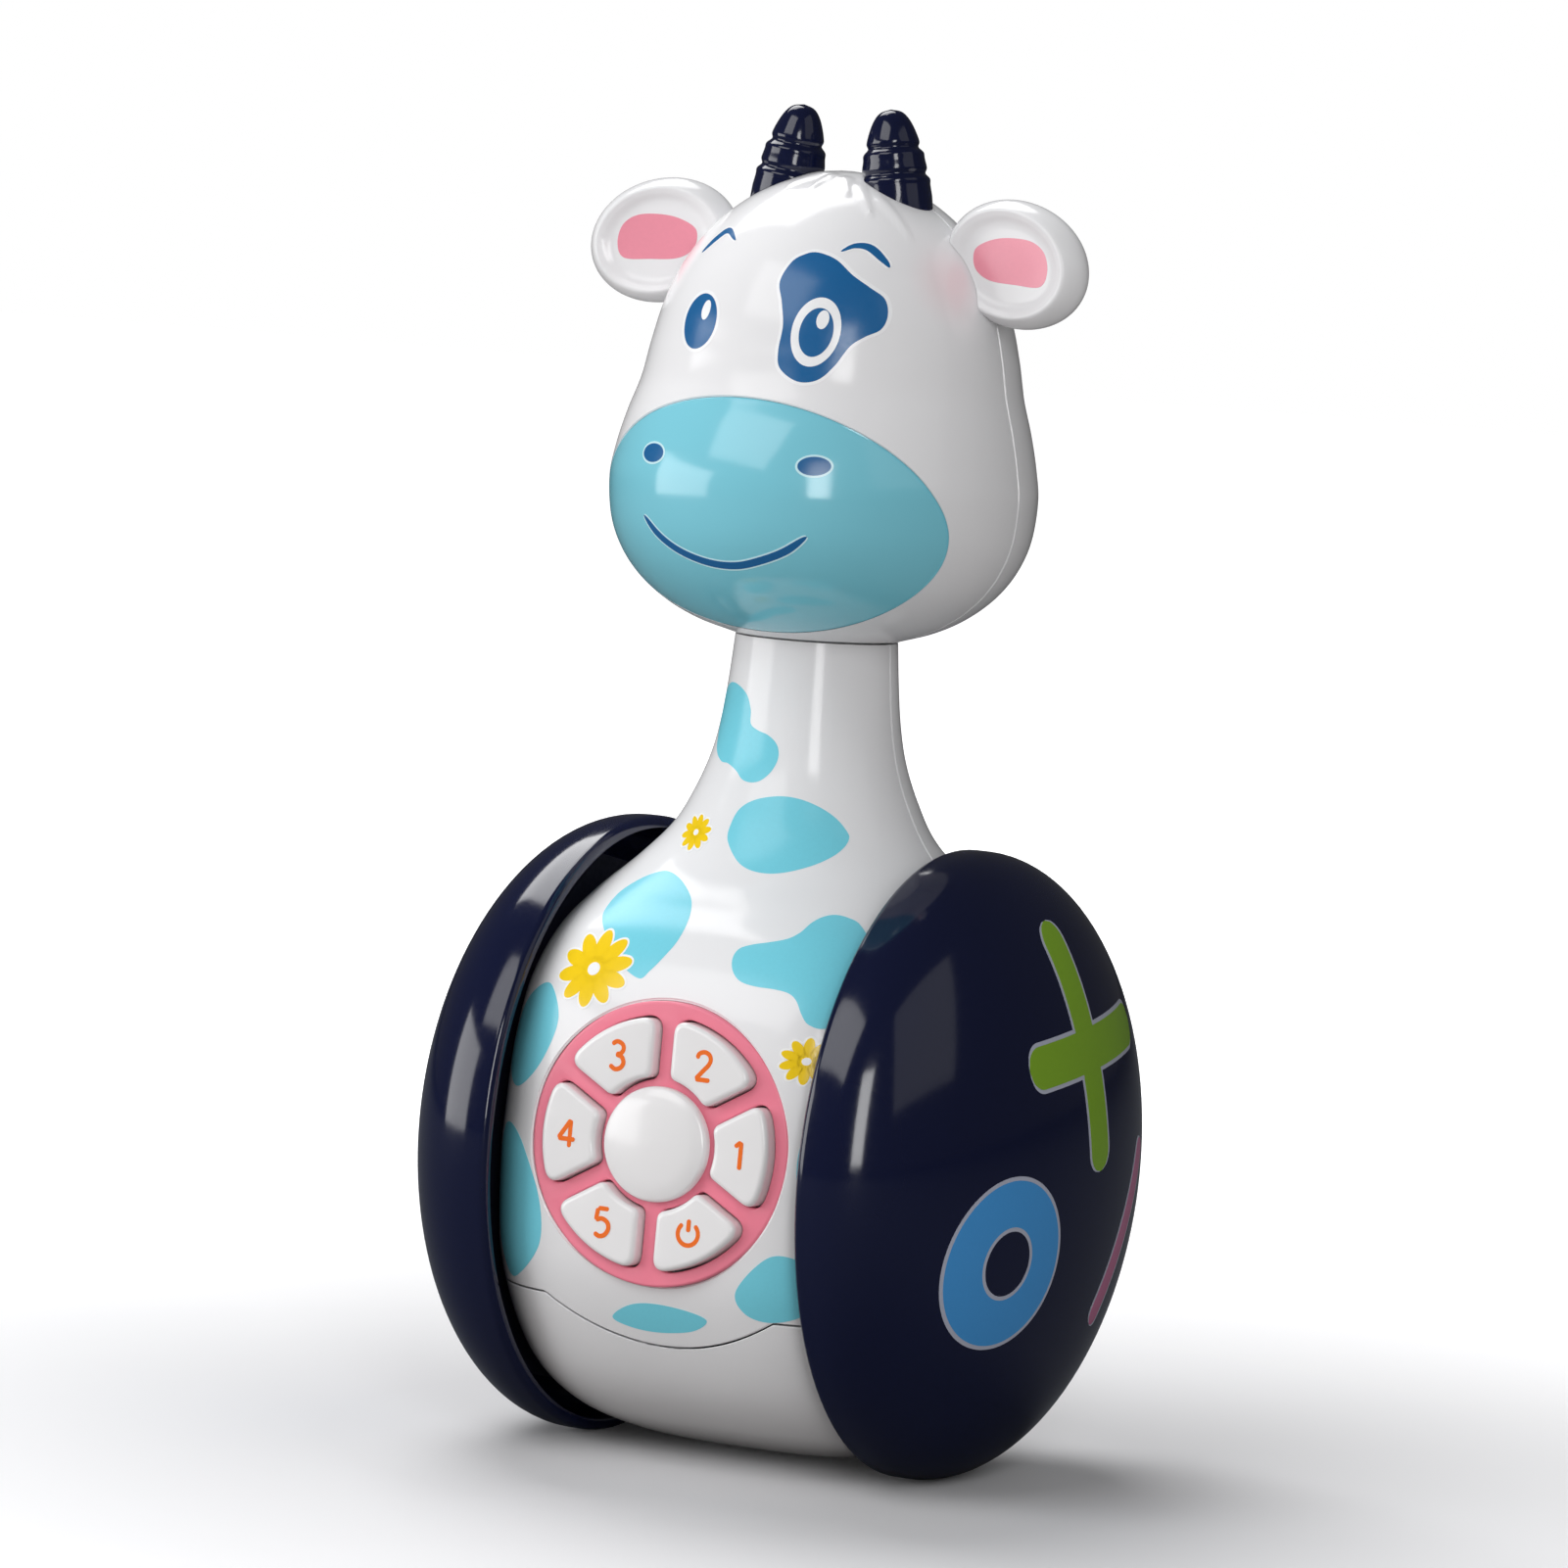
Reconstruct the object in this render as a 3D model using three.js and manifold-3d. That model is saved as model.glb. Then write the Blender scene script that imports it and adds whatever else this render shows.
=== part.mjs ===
// Tumbler toy: a calf on a weighted round belly that hangs between two rolling dome wheels.
// Millimetres, +Z up. The front faces -Y and the axle lies along X, WHEEL_RADIUS above the floor.
import * as THREE from 'three';
import { mergeVertices } from 'three/addons/utils/BufferGeometryUtils.js';
import Module from 'manifold-3d';

const wasm = await Module();
wasm.setup();

// Mouldings and fits
const WALL = 1.6;                 // wall of the body and head shells
const GAP = 0.3;                  // gap between two mouldings that meet, and round the axle
const SKIN = 0.5;                 // what is left of a wall outside an inner boss

// Wheels and axle
const WHEEL_RADIUS = 50;          // tread radius, and so the height of the axle
const TREAD_WIDTH = 2;            // flat band that rolls on the floor
const DOME_DEPTH = 24;            // from the tread to the tip of the dome
const DOME_WALL = 2.2;
const CUP_REACH = 9;              // how far each dome reaches in over the flank of the belly
const LIP_ROUND = 1.4;            // rounding of the dome's inner lip
const WHEEL_FACETS = 28;          // a multiple of four, so that a flat lies on the floor
const HUB_CLEARANCE = 1.4;        // hub plate to the flank of the belly
const HUB_PLATE = 2;
const HUB_BOSS_RADIUS = 6;
const AXLE_RADIUS = 2.5;
const AXLE_END_GAP = 2.4;         // axle end to the inside of the dome
const AXLE_CAP_LENGTH = 3;
const AXLE_CAP_RADIUS = 4.6;
const AXLE_CAP_CROWN = 0.9;       // height of the cap's sloping end
const BUSH_RADIUS = 4.6;
const BUSH_FLANGE = 2;            // how far the flange of the bush stands out, and its length
const BUSH_STAND = 0.4;           // end of the bush proud of the flank
const BUSH_SEAT = 0.9;            // flange of the bush to the middle of the flank's curved inside

// Belly and neck
const BELLY_HALF_WIDTH = 35.8;
const BELLY_DROP = 3.4;           // centre of the belly below the axle
const FLOOR_GAP = 1;              // underside of the belly above the floor
const BELLY_SQUARENESS = 4;       // exponent of the belly's plan
const NECK_RADIUS = 13;
const NECK_RISE = 81.2;           // top of the neck above the axle
const SEAM_DROP = 22.4;           // wavy seam below the axle, at the sides
const WAVE_HALF_WIDTH = 20;
const WAVE_DEPTH = 6.4;
const TAB_HALF_WIDTH = 8;         // tabs of the base that hook behind the halves
const TAB_LENGTH = 3;             // root of a tab on the base, below the seam
const TAB_REACH = 3;
const TAB_THICKNESS = 1.5;
const WEIGHT_HEIGHT = 22;         // counterweight, up from the underside of the belly
const WEIGHT_BACK = 18;           // how far the counterweight reaches back from the axle
const WEIGHT_FRONT = 30;          // and how far it reaches forward

// Button pad
const PAD_RADIUS = 22.2;
const PAD_RISE = 3.6;             // centre of the pad above the axle
const PAD_SINK = 2.2;             // face of the pad behind the front of the belly
const PAD_TILT = THREE.MathUtils.degToRad(3.5);
const PAD_THICKNESS = 2.5;
const PAD_LEDGE = 1;              // ledge of the front half that the pad sits on
const PAD_RIM = 2.5;              // edge of the pad to the buttons
const BUTTON_COUNT = 6;
const BUTTON_SPOKE = 3.2;         // width of the pad between two buttons
const BUTTON_CORNER = 2.4;
const BUTTON_RISE = 2.2;
const BUTTON_BEVEL = 0.7;
const BUTTON_TRAVEL = 1.2;
const BUTTON_FLANGE = 0.7;        // flange that keeps a button behind the pad
const CAP_RADIUS = 9;
const CAP_RISE = 3.2;
const CAP_MARGIN = 1.4;           // centre cap to the buttons
const CAP_STEM_RADIUS = 3;
const MAT_THICKNESS = 0.9;
const MAT_PAD_RADIUS = 2.6;
const MAT_PAD_RISE = 0.5;
const BOARD_THICKNESS = 1.6;

// Batteries and sound
const CELL_RADIUS = 5.25;
const CELL_LENGTH = 44.5;
const CELL_PITCH = 11.2;
const CELL_NUB_RADIUS = 1.9;
const CELL_NUB = 0.8;
const CELL_COUNT = 3;
const CELL_SINK = 13.6;           // axis of the cells in from the back of the belly
const CELL_DROP = 2.5;            // middle cell below the axle
const CONTACT_THICKNESS = 0.5;
const TRAY_WALL = 1.4;
const TRAY_RIB = 0.2;             // rib between two cells on the door's side, thinner than their pitch leaves
const LUG_HEIGHT = 8;             // screw lug on top of the tray
const LUG_HALF_WIDTH = 4;
const SPEAKER_RADIUS = 12;
const SPEAKER_RISE = 38;          // grille's middle above the axle
const SPEAKER_TILT = THREE.MathUtils.degToRad(46);
const SPEAKER_SINK = 4.6;         // cone's rim in from the outside of the shell
const SPEAKER_DEPTH = 7;
const GRILLE_HOLE_RADIUS = 1.4;
const GRILLE_PITCH = 5.6;
const GRILLE_RING = 6;            // holes round the middle one

// Screws
const SCREW_RADIUS = 1.3;
const SCREW_HEAD_RADIUS = 2.6;
const SCREW_HEAD = 1.8;
const SCREW_LENGTH = 12;
const BOSS_RADIUS = 3.6;
const BOSS_FLOOR = 3;             // thickness under a screw head
const UPPER_BOSS_INSET = 15.3;    // upper screws in from the belly's flanks
const UPPER_BOSS_RISE = 34;
const LOWER_BOSS_INSET = 6.05;
const LOWER_BOSS_RISE = -17;
const HEAD_BOSS_X = 13;
const HEAD_BOSS_RISE = 53;        // above the floor of the head

// Head
const HEAD_RADIUS = 33.7;         // at the cheeks
const HEAD_HEIGHT = 74;
const JAW_HEIGHT = 23.6;          // floor of the head to the cheeks
const JAW_DEPTH = 24.9;           // half height of the curve that the jaw follows
const JAW_SQUARENESS = 2.3;
const MUZZLE_SWELL = 4;           // how far the muzzle stands out of the round
const MUZZLE_HALF_WIDTH = 29.7;
const MUZZLE_RISE = 19;           // height of the muzzle above and below its widest line
const MUZZLE_DROP = 17.7;
const MUZZLE_MIDDLE = 18.9;       // widest line of the muzzle above the floor of the head
const MUZZLE_LEDGE = 1.6;         // overlap and thickness of the ledge behind the muzzle
const COLLAR_WALL = 2.2;
const COLLAR_DEPTH = 12;          // collar down into the neck
const COLLAR_FLANGE = 2.2;
const EAR_INSET = 2.5;            // ear's middle in from the cheeks
const EAR_Y = -1.2;
const EAR_DROP = 12.9;            // ear's middle below the top of the head
const EAR_DROOP = THREE.MathUtils.degToRad(15);   // outer end down
const EAR_TURN = THREE.MathUtils.degToRad(6);     // outer end forwards
const EAR_HALF_LENGTH = 12.7;
const EAR_HALF_HEIGHT = 9.9;
const EAR_THICKNESS = 7.5;
const EAR_RIM = 2.8;              // rounded rim of the ear
const EAR_DISH = 1.5;
const HORN_X = 9.6;
const HORN_Y = -1.6;
const HORN_TIP_RISE = 10.2;       // tip of the horn above the top of the head
const HORN_RADIUS = 5.7;
const HORN_LENGTH = 14;
const HORN_ROOT = 5;              // length of horn below its visible foot
const HORN_FLARE = 0.2;           // how much wider the root is
const HORN_LEAN = THREE.MathUtils.degToRad(8);
const HORN_GROOVE = 0.45;

// Facets: rings and sides of the lofted shells, and sides of small round pieces
const OUTER_RINGS = 14;
const OUTER_SIDES = 24;
const INNER_RINGS = 9;
const INNER_SIDES = 16;
const ROUND_SIDES = 12;
const SMALL_SIDES = 7;
const DOME_STEPS = 6;             // facets of the dome from tread to tip, outside
const DOME_INNER_STEPS = 4;       // and inside

// Places that follow from the sizes above
const AXLE_Z = WHEEL_RADIUS;
const BELLY_RADIUS = WHEEL_RADIUS - BELLY_DROP - FLOOR_GAP;
const BELLY_Z = AXLE_Z - BELLY_DROP;
const NECK_TOP = AXLE_Z + NECK_RISE;
const HEAD_FLOOR = NECK_TOP + GAP;
const HEAD_TOP = HEAD_FLOOR + HEAD_HEIGHT;
const SEAM_Z = AXLE_Z - SEAM_DROP;
const LIP_X = BELLY_HALF_WIDTH - CUP_REACH;
const TREAD_X = LIP_X + LIP_ROUND;
const DOME_X = TREAD_X + TREAD_WIDTH;
const FAR = 4 * (WHEEL_RADIUS + NECK_RISE + HEAD_HEIGHT);

const toy = new THREE.Group();

// Finishes
const finish = (color, roughness, metalness = 0) =>
  new THREE.MeshStandardMaterial({ color, roughness, metalness });
const white = finish(0xeceef1, 0.25);
const navy = finish(0x141a38, 0.2);
const blue = finish(0x82d3e4, 0.25);
const pink = finish(0xe58ea0, 0.35);
const steel = finish(0xa8abb0, 0.35, 1);
const dark = finish(0x2a2d33, 0.6);
const green = finish(0x2e6a45, 0.5);
const grey = finish(0xc3c6c8, 0.7);
const cellSleeve = finish(0x4d565f, 0.4);

// Solids and meshes

function solidOf(geometry) {
  const bare = geometry.index ? geometry.clone() : geometry;
  bare.deleteAttribute('normal');
  bare.deleteAttribute('uv');
  const merged = mergeVertices(bare, 1e-4);
  const corner = merged.getAttribute('position');
  const index = Array.from(merged.index.array);
  const triangles = [];
  let volume = 0;
  const [a, b, c] = [new THREE.Vector3(), new THREE.Vector3(), new THREE.Vector3()];
  for (let i = 0; i < index.length; i += 3) {
    const [p, q, r] = index.slice(i, i + 3);
    if (p === q || q === r || r === p) continue;
    triangles.push(p, q, r);
    a.fromBufferAttribute(corner, p);
    b.fromBufferAttribute(corner, q);
    c.fromBufferAttribute(corner, r);
    volume += a.dot(b.cross(c));
  }
  // A profile drawn the other way round comes out inside out, so it is turned here.
  if (volume < 0) triangles.reverse();
  return new wasm.Manifold(new wasm.Mesh({
    numProp: 3,
    vertProperties: new Float32Array(corner.array),
    triVerts: new Uint32Array(triangles),
  }));
}

function geometryOf(solid) {
  const mesh = solid.getMesh();
  const geometry = new THREE.BufferGeometry();
  geometry.setAttribute('position', new THREE.BufferAttribute(mesh.vertProperties, 3));
  geometry.setIndex(new THREE.BufferAttribute(mesh.triVerts, 1));
  geometry.computeVertexNormals();
  return geometry;
}

function addPiece(name, solid, material, parent = toy) {
  const mesh = new THREE.Mesh(geometryOf(solid), material);
  mesh.name = name;
  parent.add(mesh);
  return mesh;
}

function place(geometry, matrix) {
  return solidOf(geometry.clone().applyMatrix4(matrix));
}

function block(low, high) {
  const size = high.map((value, i) => value - low[i]);
  const middle = high.map((value, i) => (value + low[i]) / 2);
  return solidOf(new THREE.BoxGeometry(...size).translate(...middle));
}

// A turned solid about the local Z axis, from a closed profile of [radius, height] points.
function turned(profile, sides, turn = 0) {
  const points = profile.map(([radius, height]) => new THREE.Vector2(radius, height));
  return new THREE.LatheGeometry(points, sides, turn).rotateX(Math.PI / 2);
}

// A plain round bar along Y through x, z.
function barY(radius, x, z, y0, y1, sides = SMALL_SIDES) {
  const bar = new THREE.CylinderGeometry(radius, radius, y1 - y0, sides);
  return solidOf(bar.translate(x, (y0 + y1) / 2, z));
}

// An outline drawn in the plane of X and Z, extruded along Y.
function prismY(shape, y0, y1, curveSegments = SMALL_SIDES) {
  const bar = new THREE.ExtrudeGeometry(shape, { depth: y1 - y0, bevelEnabled: false, curveSegments });
  return solidOf(bar.rotateX(Math.PI / 2).translate(0, y1, 0));
}

// Lofted forms: each row is [height, half width, half depth in front, half depth behind, squareness]

function splineRow(rows, at) {
  const i = Math.min(Math.floor(at), rows.length - 2);
  const t = at - i;
  const mirrored = (end, next) => end.map((value, k) => 2 * value - next[k]);
  const p0 = i > 0 ? rows[i - 1] : mirrored(rows[0], rows[1]);
  const p3 = i < rows.length - 2 ? rows[i + 2] : mirrored(rows[i + 1], rows[i]);
  return rows[i].map((p1, k) => {
    const p2 = rows[i + 1][k];
    const bend = 2 * p0[k] - 5 * p1 + 4 * p2 - p3[k];
    const twist = 3 * p1 - p0[k] - 3 * p2 + p3[k];
    return p1 + 0.5 * t * (p2 - p0[k] + t * (bend + t * twist));
  });
}

const roundPower = (value, power) => Math.sign(value) * Math.abs(value) ** power;

function loft(rows, rings, sides) {
  const position = [];
  const index = [];
  for (let i = 0; i <= rings; i++) {
    const [z, halfWidth, front, back, squareness] = splineRow(rows, (i / rings) * (rows.length - 1));
    for (let j = 0; j < sides; j++) {
      const angle = (j / sides) * 2 * Math.PI;
      const depth = Math.sin(angle) < 0 ? front : back;
      const x = halfWidth * roundPower(Math.cos(angle), 2 / squareness);
      const y = depth * roundPower(Math.sin(angle), 2 / squareness);
      position.push(x, y, z);
    }
  }
  const corner = (i, j) => i * sides + (j % sides);
  for (let i = 0; i < rings; i++) {
    for (let j = 0; j < sides; j++) {
      index.push(corner(i, j), corner(i, j + 1), corner(i + 1, j + 1));
      index.push(corner(i, j), corner(i + 1, j + 1), corner(i + 1, j));
    }
  }
  const bottom = position.length / 3;
  position.push(0, 0, position[2]);
  position.push(0, 0, position[3 * corner(rings, 0) + 2]);
  for (let j = 0; j < sides; j++) {
    index.push(bottom, corner(0, j + 1), corner(0, j));
    index.push(bottom + 1, corner(rings, j), corner(rings, j + 1));
  }
  const geometry = new THREE.BufferGeometry();
  geometry.setAttribute('position', new THREE.Float32BufferAttribute(position, 3));
  geometry.setIndex(index);
  return solidOf(geometry);
}

// Belly and neck. The bowl's rows are degrees below the belly's middle and squareness.
// The shoulder's rows are the share of the way up from there to the top of the neck, the shares of
// the belly's spare width and depth that are left there, and squareness.
const BOWL = [
  [-86, 2.4],
  [-76, 2.8],
  [-60, 3.3],
  [-42, 3.7],
  [-20, BELLY_SQUARENESS],
  [0, BELLY_SQUARENESS],
];
const SHOULDER = [
  [0.115, 0.995, 0.985, 4],
  [0.23, 0.978, 0.945, 4],
  [0.345, 0.947, 0.855, 3.8],
  [0.44, 0.868, 0.69, 3.4],
  [0.51, 0.737, 0.49, 2.8],
  [0.57, 0.553, 0.325, 2.3],
  [0.635, 0.355, 0.215, 2],
  [0.705, 0.21, 0.14, 2],
  [0.775, 0.112, 0.076, 2],
  [0.845, 0.057, 0.04, 2],
  [0.922, 0.024, 0.017, 2],
  [1, 0, 0, 2],
];

function bodyRows(inset) {
  const radius = BELLY_RADIUS - inset;
  const width = BELLY_HALF_WIDTH - inset;
  const neck = NECK_RADIUS - inset;
  const bowl = BOWL.map(([degrees, squareness]) => {
    const rise = Math.sin(THREE.MathUtils.degToRad(degrees));
    const depth = radius * Math.cos(THREE.MathUtils.degToRad(degrees));
    const halfWidth = width * (1 - Math.abs(rise) ** BELLY_SQUARENESS) ** (1 / BELLY_SQUARENESS);
    return [BELLY_Z + radius * rise, halfWidth, depth, depth, squareness];
  });
  const shoulder = SHOULDER.map(([rise, wide, deep, squareness]) => {
    const z = BELLY_Z + (NECK_TOP - BELLY_Z) * rise;
    const depth = neck + (radius - neck) * deep;
    return [z, neck + (width - neck) * wide, depth, depth, squareness];
  });
  return bowl.concat(shoulder);
}

// Depth of the outside of the body on its middle line at a height.
function bodyDepth(z) {
  const rows = bodyRows(0);
  let low = 0;
  let high = rows.length - 1;
  for (let step = 0; step < 40; step++) {
    const middle = (low + high) / 2;
    if (splineRow(rows, middle)[0] < z) low = middle;
    else high = middle;
  }
  return splineRow(rows, low)[3];
}

const bodySolid = (inset) => loft(bodyRows(inset), OUTER_RINGS, OUTER_SIDES);

// An inner surface, carried on through the top of the neck where it is open.
function bodyHollow(inset) {
  const rows = bodyRows(inset);
  const top = rows[rows.length - 1];
  rows.push([top[0] + WALL, ...top.slice(1)]);
  return loft(rows, INNER_RINGS, INNER_SIDES);
}

// Head. The jaw follows a squared ellipse by angle, the crown its rows:
// share of the way from the cheeks to the top, share of the cheeks' radius, share of the swell.
const JAW_ANGLES = [70, 59, 48, 36, 24, 12, 0];
const CROWN = [
  [0.1, 0.982, 0.9],
  [0.209, 0.947, 0.6],
  [0.318, 0.902, 0.2],
  [0.437, 0.868, 0.03],
  [0.557, 0.822, 0],
  [0.676, 0.748, 0],
  [0.785, 0.638, 0],
  [0.875, 0.499, 0],
  [0.946, 0.332, 0],
  [0.988, 0.166, 0],
  [1, 0.03, 0],
];

function headRows(inset) {
  const radius = HEAD_RADIUS - inset;
  const cheeks = HEAD_FLOOR + JAW_HEIGHT;
  const rowOf = (z, share, swell) => {
    const round = radius * share;
    return [z, round, round + MUZZLE_SWELL * swell, round, 2];
  };
  const jaw = JAW_ANGLES.map((degrees) => {
    const angle = THREE.MathUtils.degToRad(degrees);
    const drop = (JAW_DEPTH - inset) * Math.sin(angle) ** (2 / JAW_SQUARENESS);
    return rowOf(cheeks - drop, Math.cos(angle) ** (2 / JAW_SQUARENESS), Math.cos(angle) ** 2);
  });
  const crown = CROWN.map(([rise, share, swell]) => {
    const z = cheeks + (HEAD_HEIGHT - JAW_HEIGHT - inset) * rise;
    return rowOf(z, share, swell);
  });
  return jaw.concat(crown);
}

const headSolid = (inset) => loft(headRows(inset), OUTER_RINGS, OUTER_SIDES);
const headHollow = (inset) => loft(headRows(inset), INNER_RINGS, INNER_SIDES);

// Cutters on the two seams
const frontHalf = block([-FAR, -FAR, -FAR], [FAR, -GAP / 2, FAR]);
const backHalf = block([-FAR, GAP / 2, -FAR], [FAR, FAR, FAR]);

function belowSeam(shift) {
  const edge = SEAM_Z + shift;
  const outline = new THREE.Shape();
  outline.moveTo(-FAR, -FAR);
  outline.lineTo(FAR, -FAR);
  outline.lineTo(FAR, edge);
  outline.lineTo(WAVE_HALF_WIDTH, edge);
  outline.quadraticCurveTo(0, edge - 2 * WAVE_DEPTH, -WAVE_HALF_WIDTH, edge);
  outline.lineTo(-FAR, edge);
  outline.closePath();
  return prismY(outline, -FAR, FAR);
}

// Frames of the button pad and of the speaker: local Z points out of the toy
const padFrame = new THREE.Group();
padFrame.position.set(0, PAD_SINK - BELLY_RADIUS, AXLE_Z + PAD_RISE);
padFrame.rotation.x = Math.PI / 2 - PAD_TILT;
padFrame.updateMatrix();
toy.add(padFrame);

const speakerFrame = new THREE.Group();
speakerFrame.position.set(0, bodyDepth(AXLE_Z + SPEAKER_RISE), AXLE_Z + SPEAKER_RISE);
speakerFrame.rotation.x = SPEAKER_TILT - Math.PI / 2;
speakerFrame.updateMatrix();
toy.add(speakerFrame);

// A round bar along the local Z of a frame, in the toy's own frame.
function barIn(frame, radius, z0, z1, sides, x = 0, y = 0) {
  const bar = new THREE.CylinderGeometry(radius, radius, z1 - z0, sides).rotateX(Math.PI / 2);
  return place(bar.translate(x, y, (z0 + z1) / 2), frame.matrix);
}

// Depths behind the face of the pad
const PAD_BORE = PAD_RADIUS - PAD_LEDGE;
const FLANGE_TOP = -PAD_THICKNESS - GAP;
const FLANGE_BACK = FLANGE_TOP - BUTTON_FLANGE;
const MAT_TOP = FLANGE_BACK - BUTTON_TRAVEL - GAP - MAT_PAD_RISE;
const MAT_BACK = MAT_TOP - MAT_THICKNESS;
const BOARD_TOP = MAT_BACK - GAP;
const PAD_SEAT_RADIUS = PAD_RADIUS + GAP + WALL;

// Battery compartment
const CELL_Y = BELLY_RADIUS - CELL_SINK;
const CELL_Z = AXLE_Z - CELL_DROP;
const TRAY_HALF_WIDTH = CELL_LENGTH / 2 + CELL_NUB + CONTACT_THICKNESS + 3 * GAP + TRAY_WALL;
const TRAY_HALF_HEIGHT = ((CELL_COUNT - 1) * CELL_PITCH) / 2 + CELL_RADIUS + GAP + TRAY_WALL;
const TRAY_FRONT = CELL_Y - CELL_RADIUS - GAP - TRAY_WALL;
const COVER_LOW = CELL_Z - TRAY_HALF_HEIGHT + TRAY_WALL / 2;
const COVER_HIGH = CELL_Z + TRAY_HALF_HEIGHT + LUG_HEIGHT;
const COVER_SCREW_Z = CELL_Z + TRAY_HALF_HEIGHT + LUG_HEIGHT / 2;

// Screw places of the body, in X and Z
const UPPER_BOSS_X = BELLY_HALF_WIDTH - UPPER_BOSS_INSET;
const LOWER_BOSS_X = Math.max(BELLY_HALF_WIDTH - LOWER_BOSS_INSET, TRAY_HALF_WIDTH + GAP + BOSS_RADIUS);
const BODY_SCREWS = [
  [UPPER_BOSS_X, AXLE_Z + UPPER_BOSS_RISE],
  [-UPPER_BOSS_X, AXLE_Z + UPPER_BOSS_RISE],
  [LOWER_BOSS_X, AXLE_Z + LOWER_BOSS_RISE],
  [-LOWER_BOSS_X, AXLE_Z + LOWER_BOSS_RISE],
];
const HEAD_SCREWS = [
  [HEAD_BOSS_X, HEAD_FLOOR + HEAD_BOSS_RISE],
  [-HEAD_BOSS_X, HEAD_FLOOR + HEAD_BOSS_RISE],
];

// Bosses for screws: a blind pilot in the front half, a deep counterbore in the back half.
function withFrontBosses(shell, skin, places) {
  return places.reduce((part, [x, z]) => {
    const boss = barY(BOSS_RADIUS, x, z, -FAR, -GAP / 2).intersect(skin);
    const pilot = barY(SCREW_RADIUS + GAP, x, z, -SCREW_LENGTH, FAR);
    return part.add(boss).subtract(pilot);
  }, shell);
}

function withBackBosses(shell, skin, places) {
  return places.reduce((part, [x, z]) => {
    const boss = barY(BOSS_RADIUS, x, z, GAP / 2, FAR).intersect(skin);
    const hole = barY(SCREW_RADIUS + GAP, x, z, -FAR, FAR);
    const counterbore = barY(SCREW_HEAD_RADIUS + GAP, x, z, BOSS_FLOOR, FAR);
    return part.add(boss).subtract(hole).subtract(counterbore);
  }, shell);
}

// A screw along Y with its head at the back, seated on a floor at seatY.
function addScrew(name, x, z, seatY, length) {
  const profile = [
    [0, -length + GAP],
    [SCREW_RADIUS, -length + GAP + SCREW_RADIUS],
    [SCREW_RADIUS, 0],
    [SCREW_HEAD_RADIUS, 0],
    [SCREW_HEAD_RADIUS, SCREW_HEAD / 2],
    [SCREW_HEAD_RADIUS / 2, SCREW_HEAD],
    [0, SCREW_HEAD],
  ];
  const screw = addPiece(name, solidOf(turned(profile, SMALL_SIDES)), steel);
  screw.rotation.x = -Math.PI / 2;
  screw.position.set(x, seatY + GAP, z);
}

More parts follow.
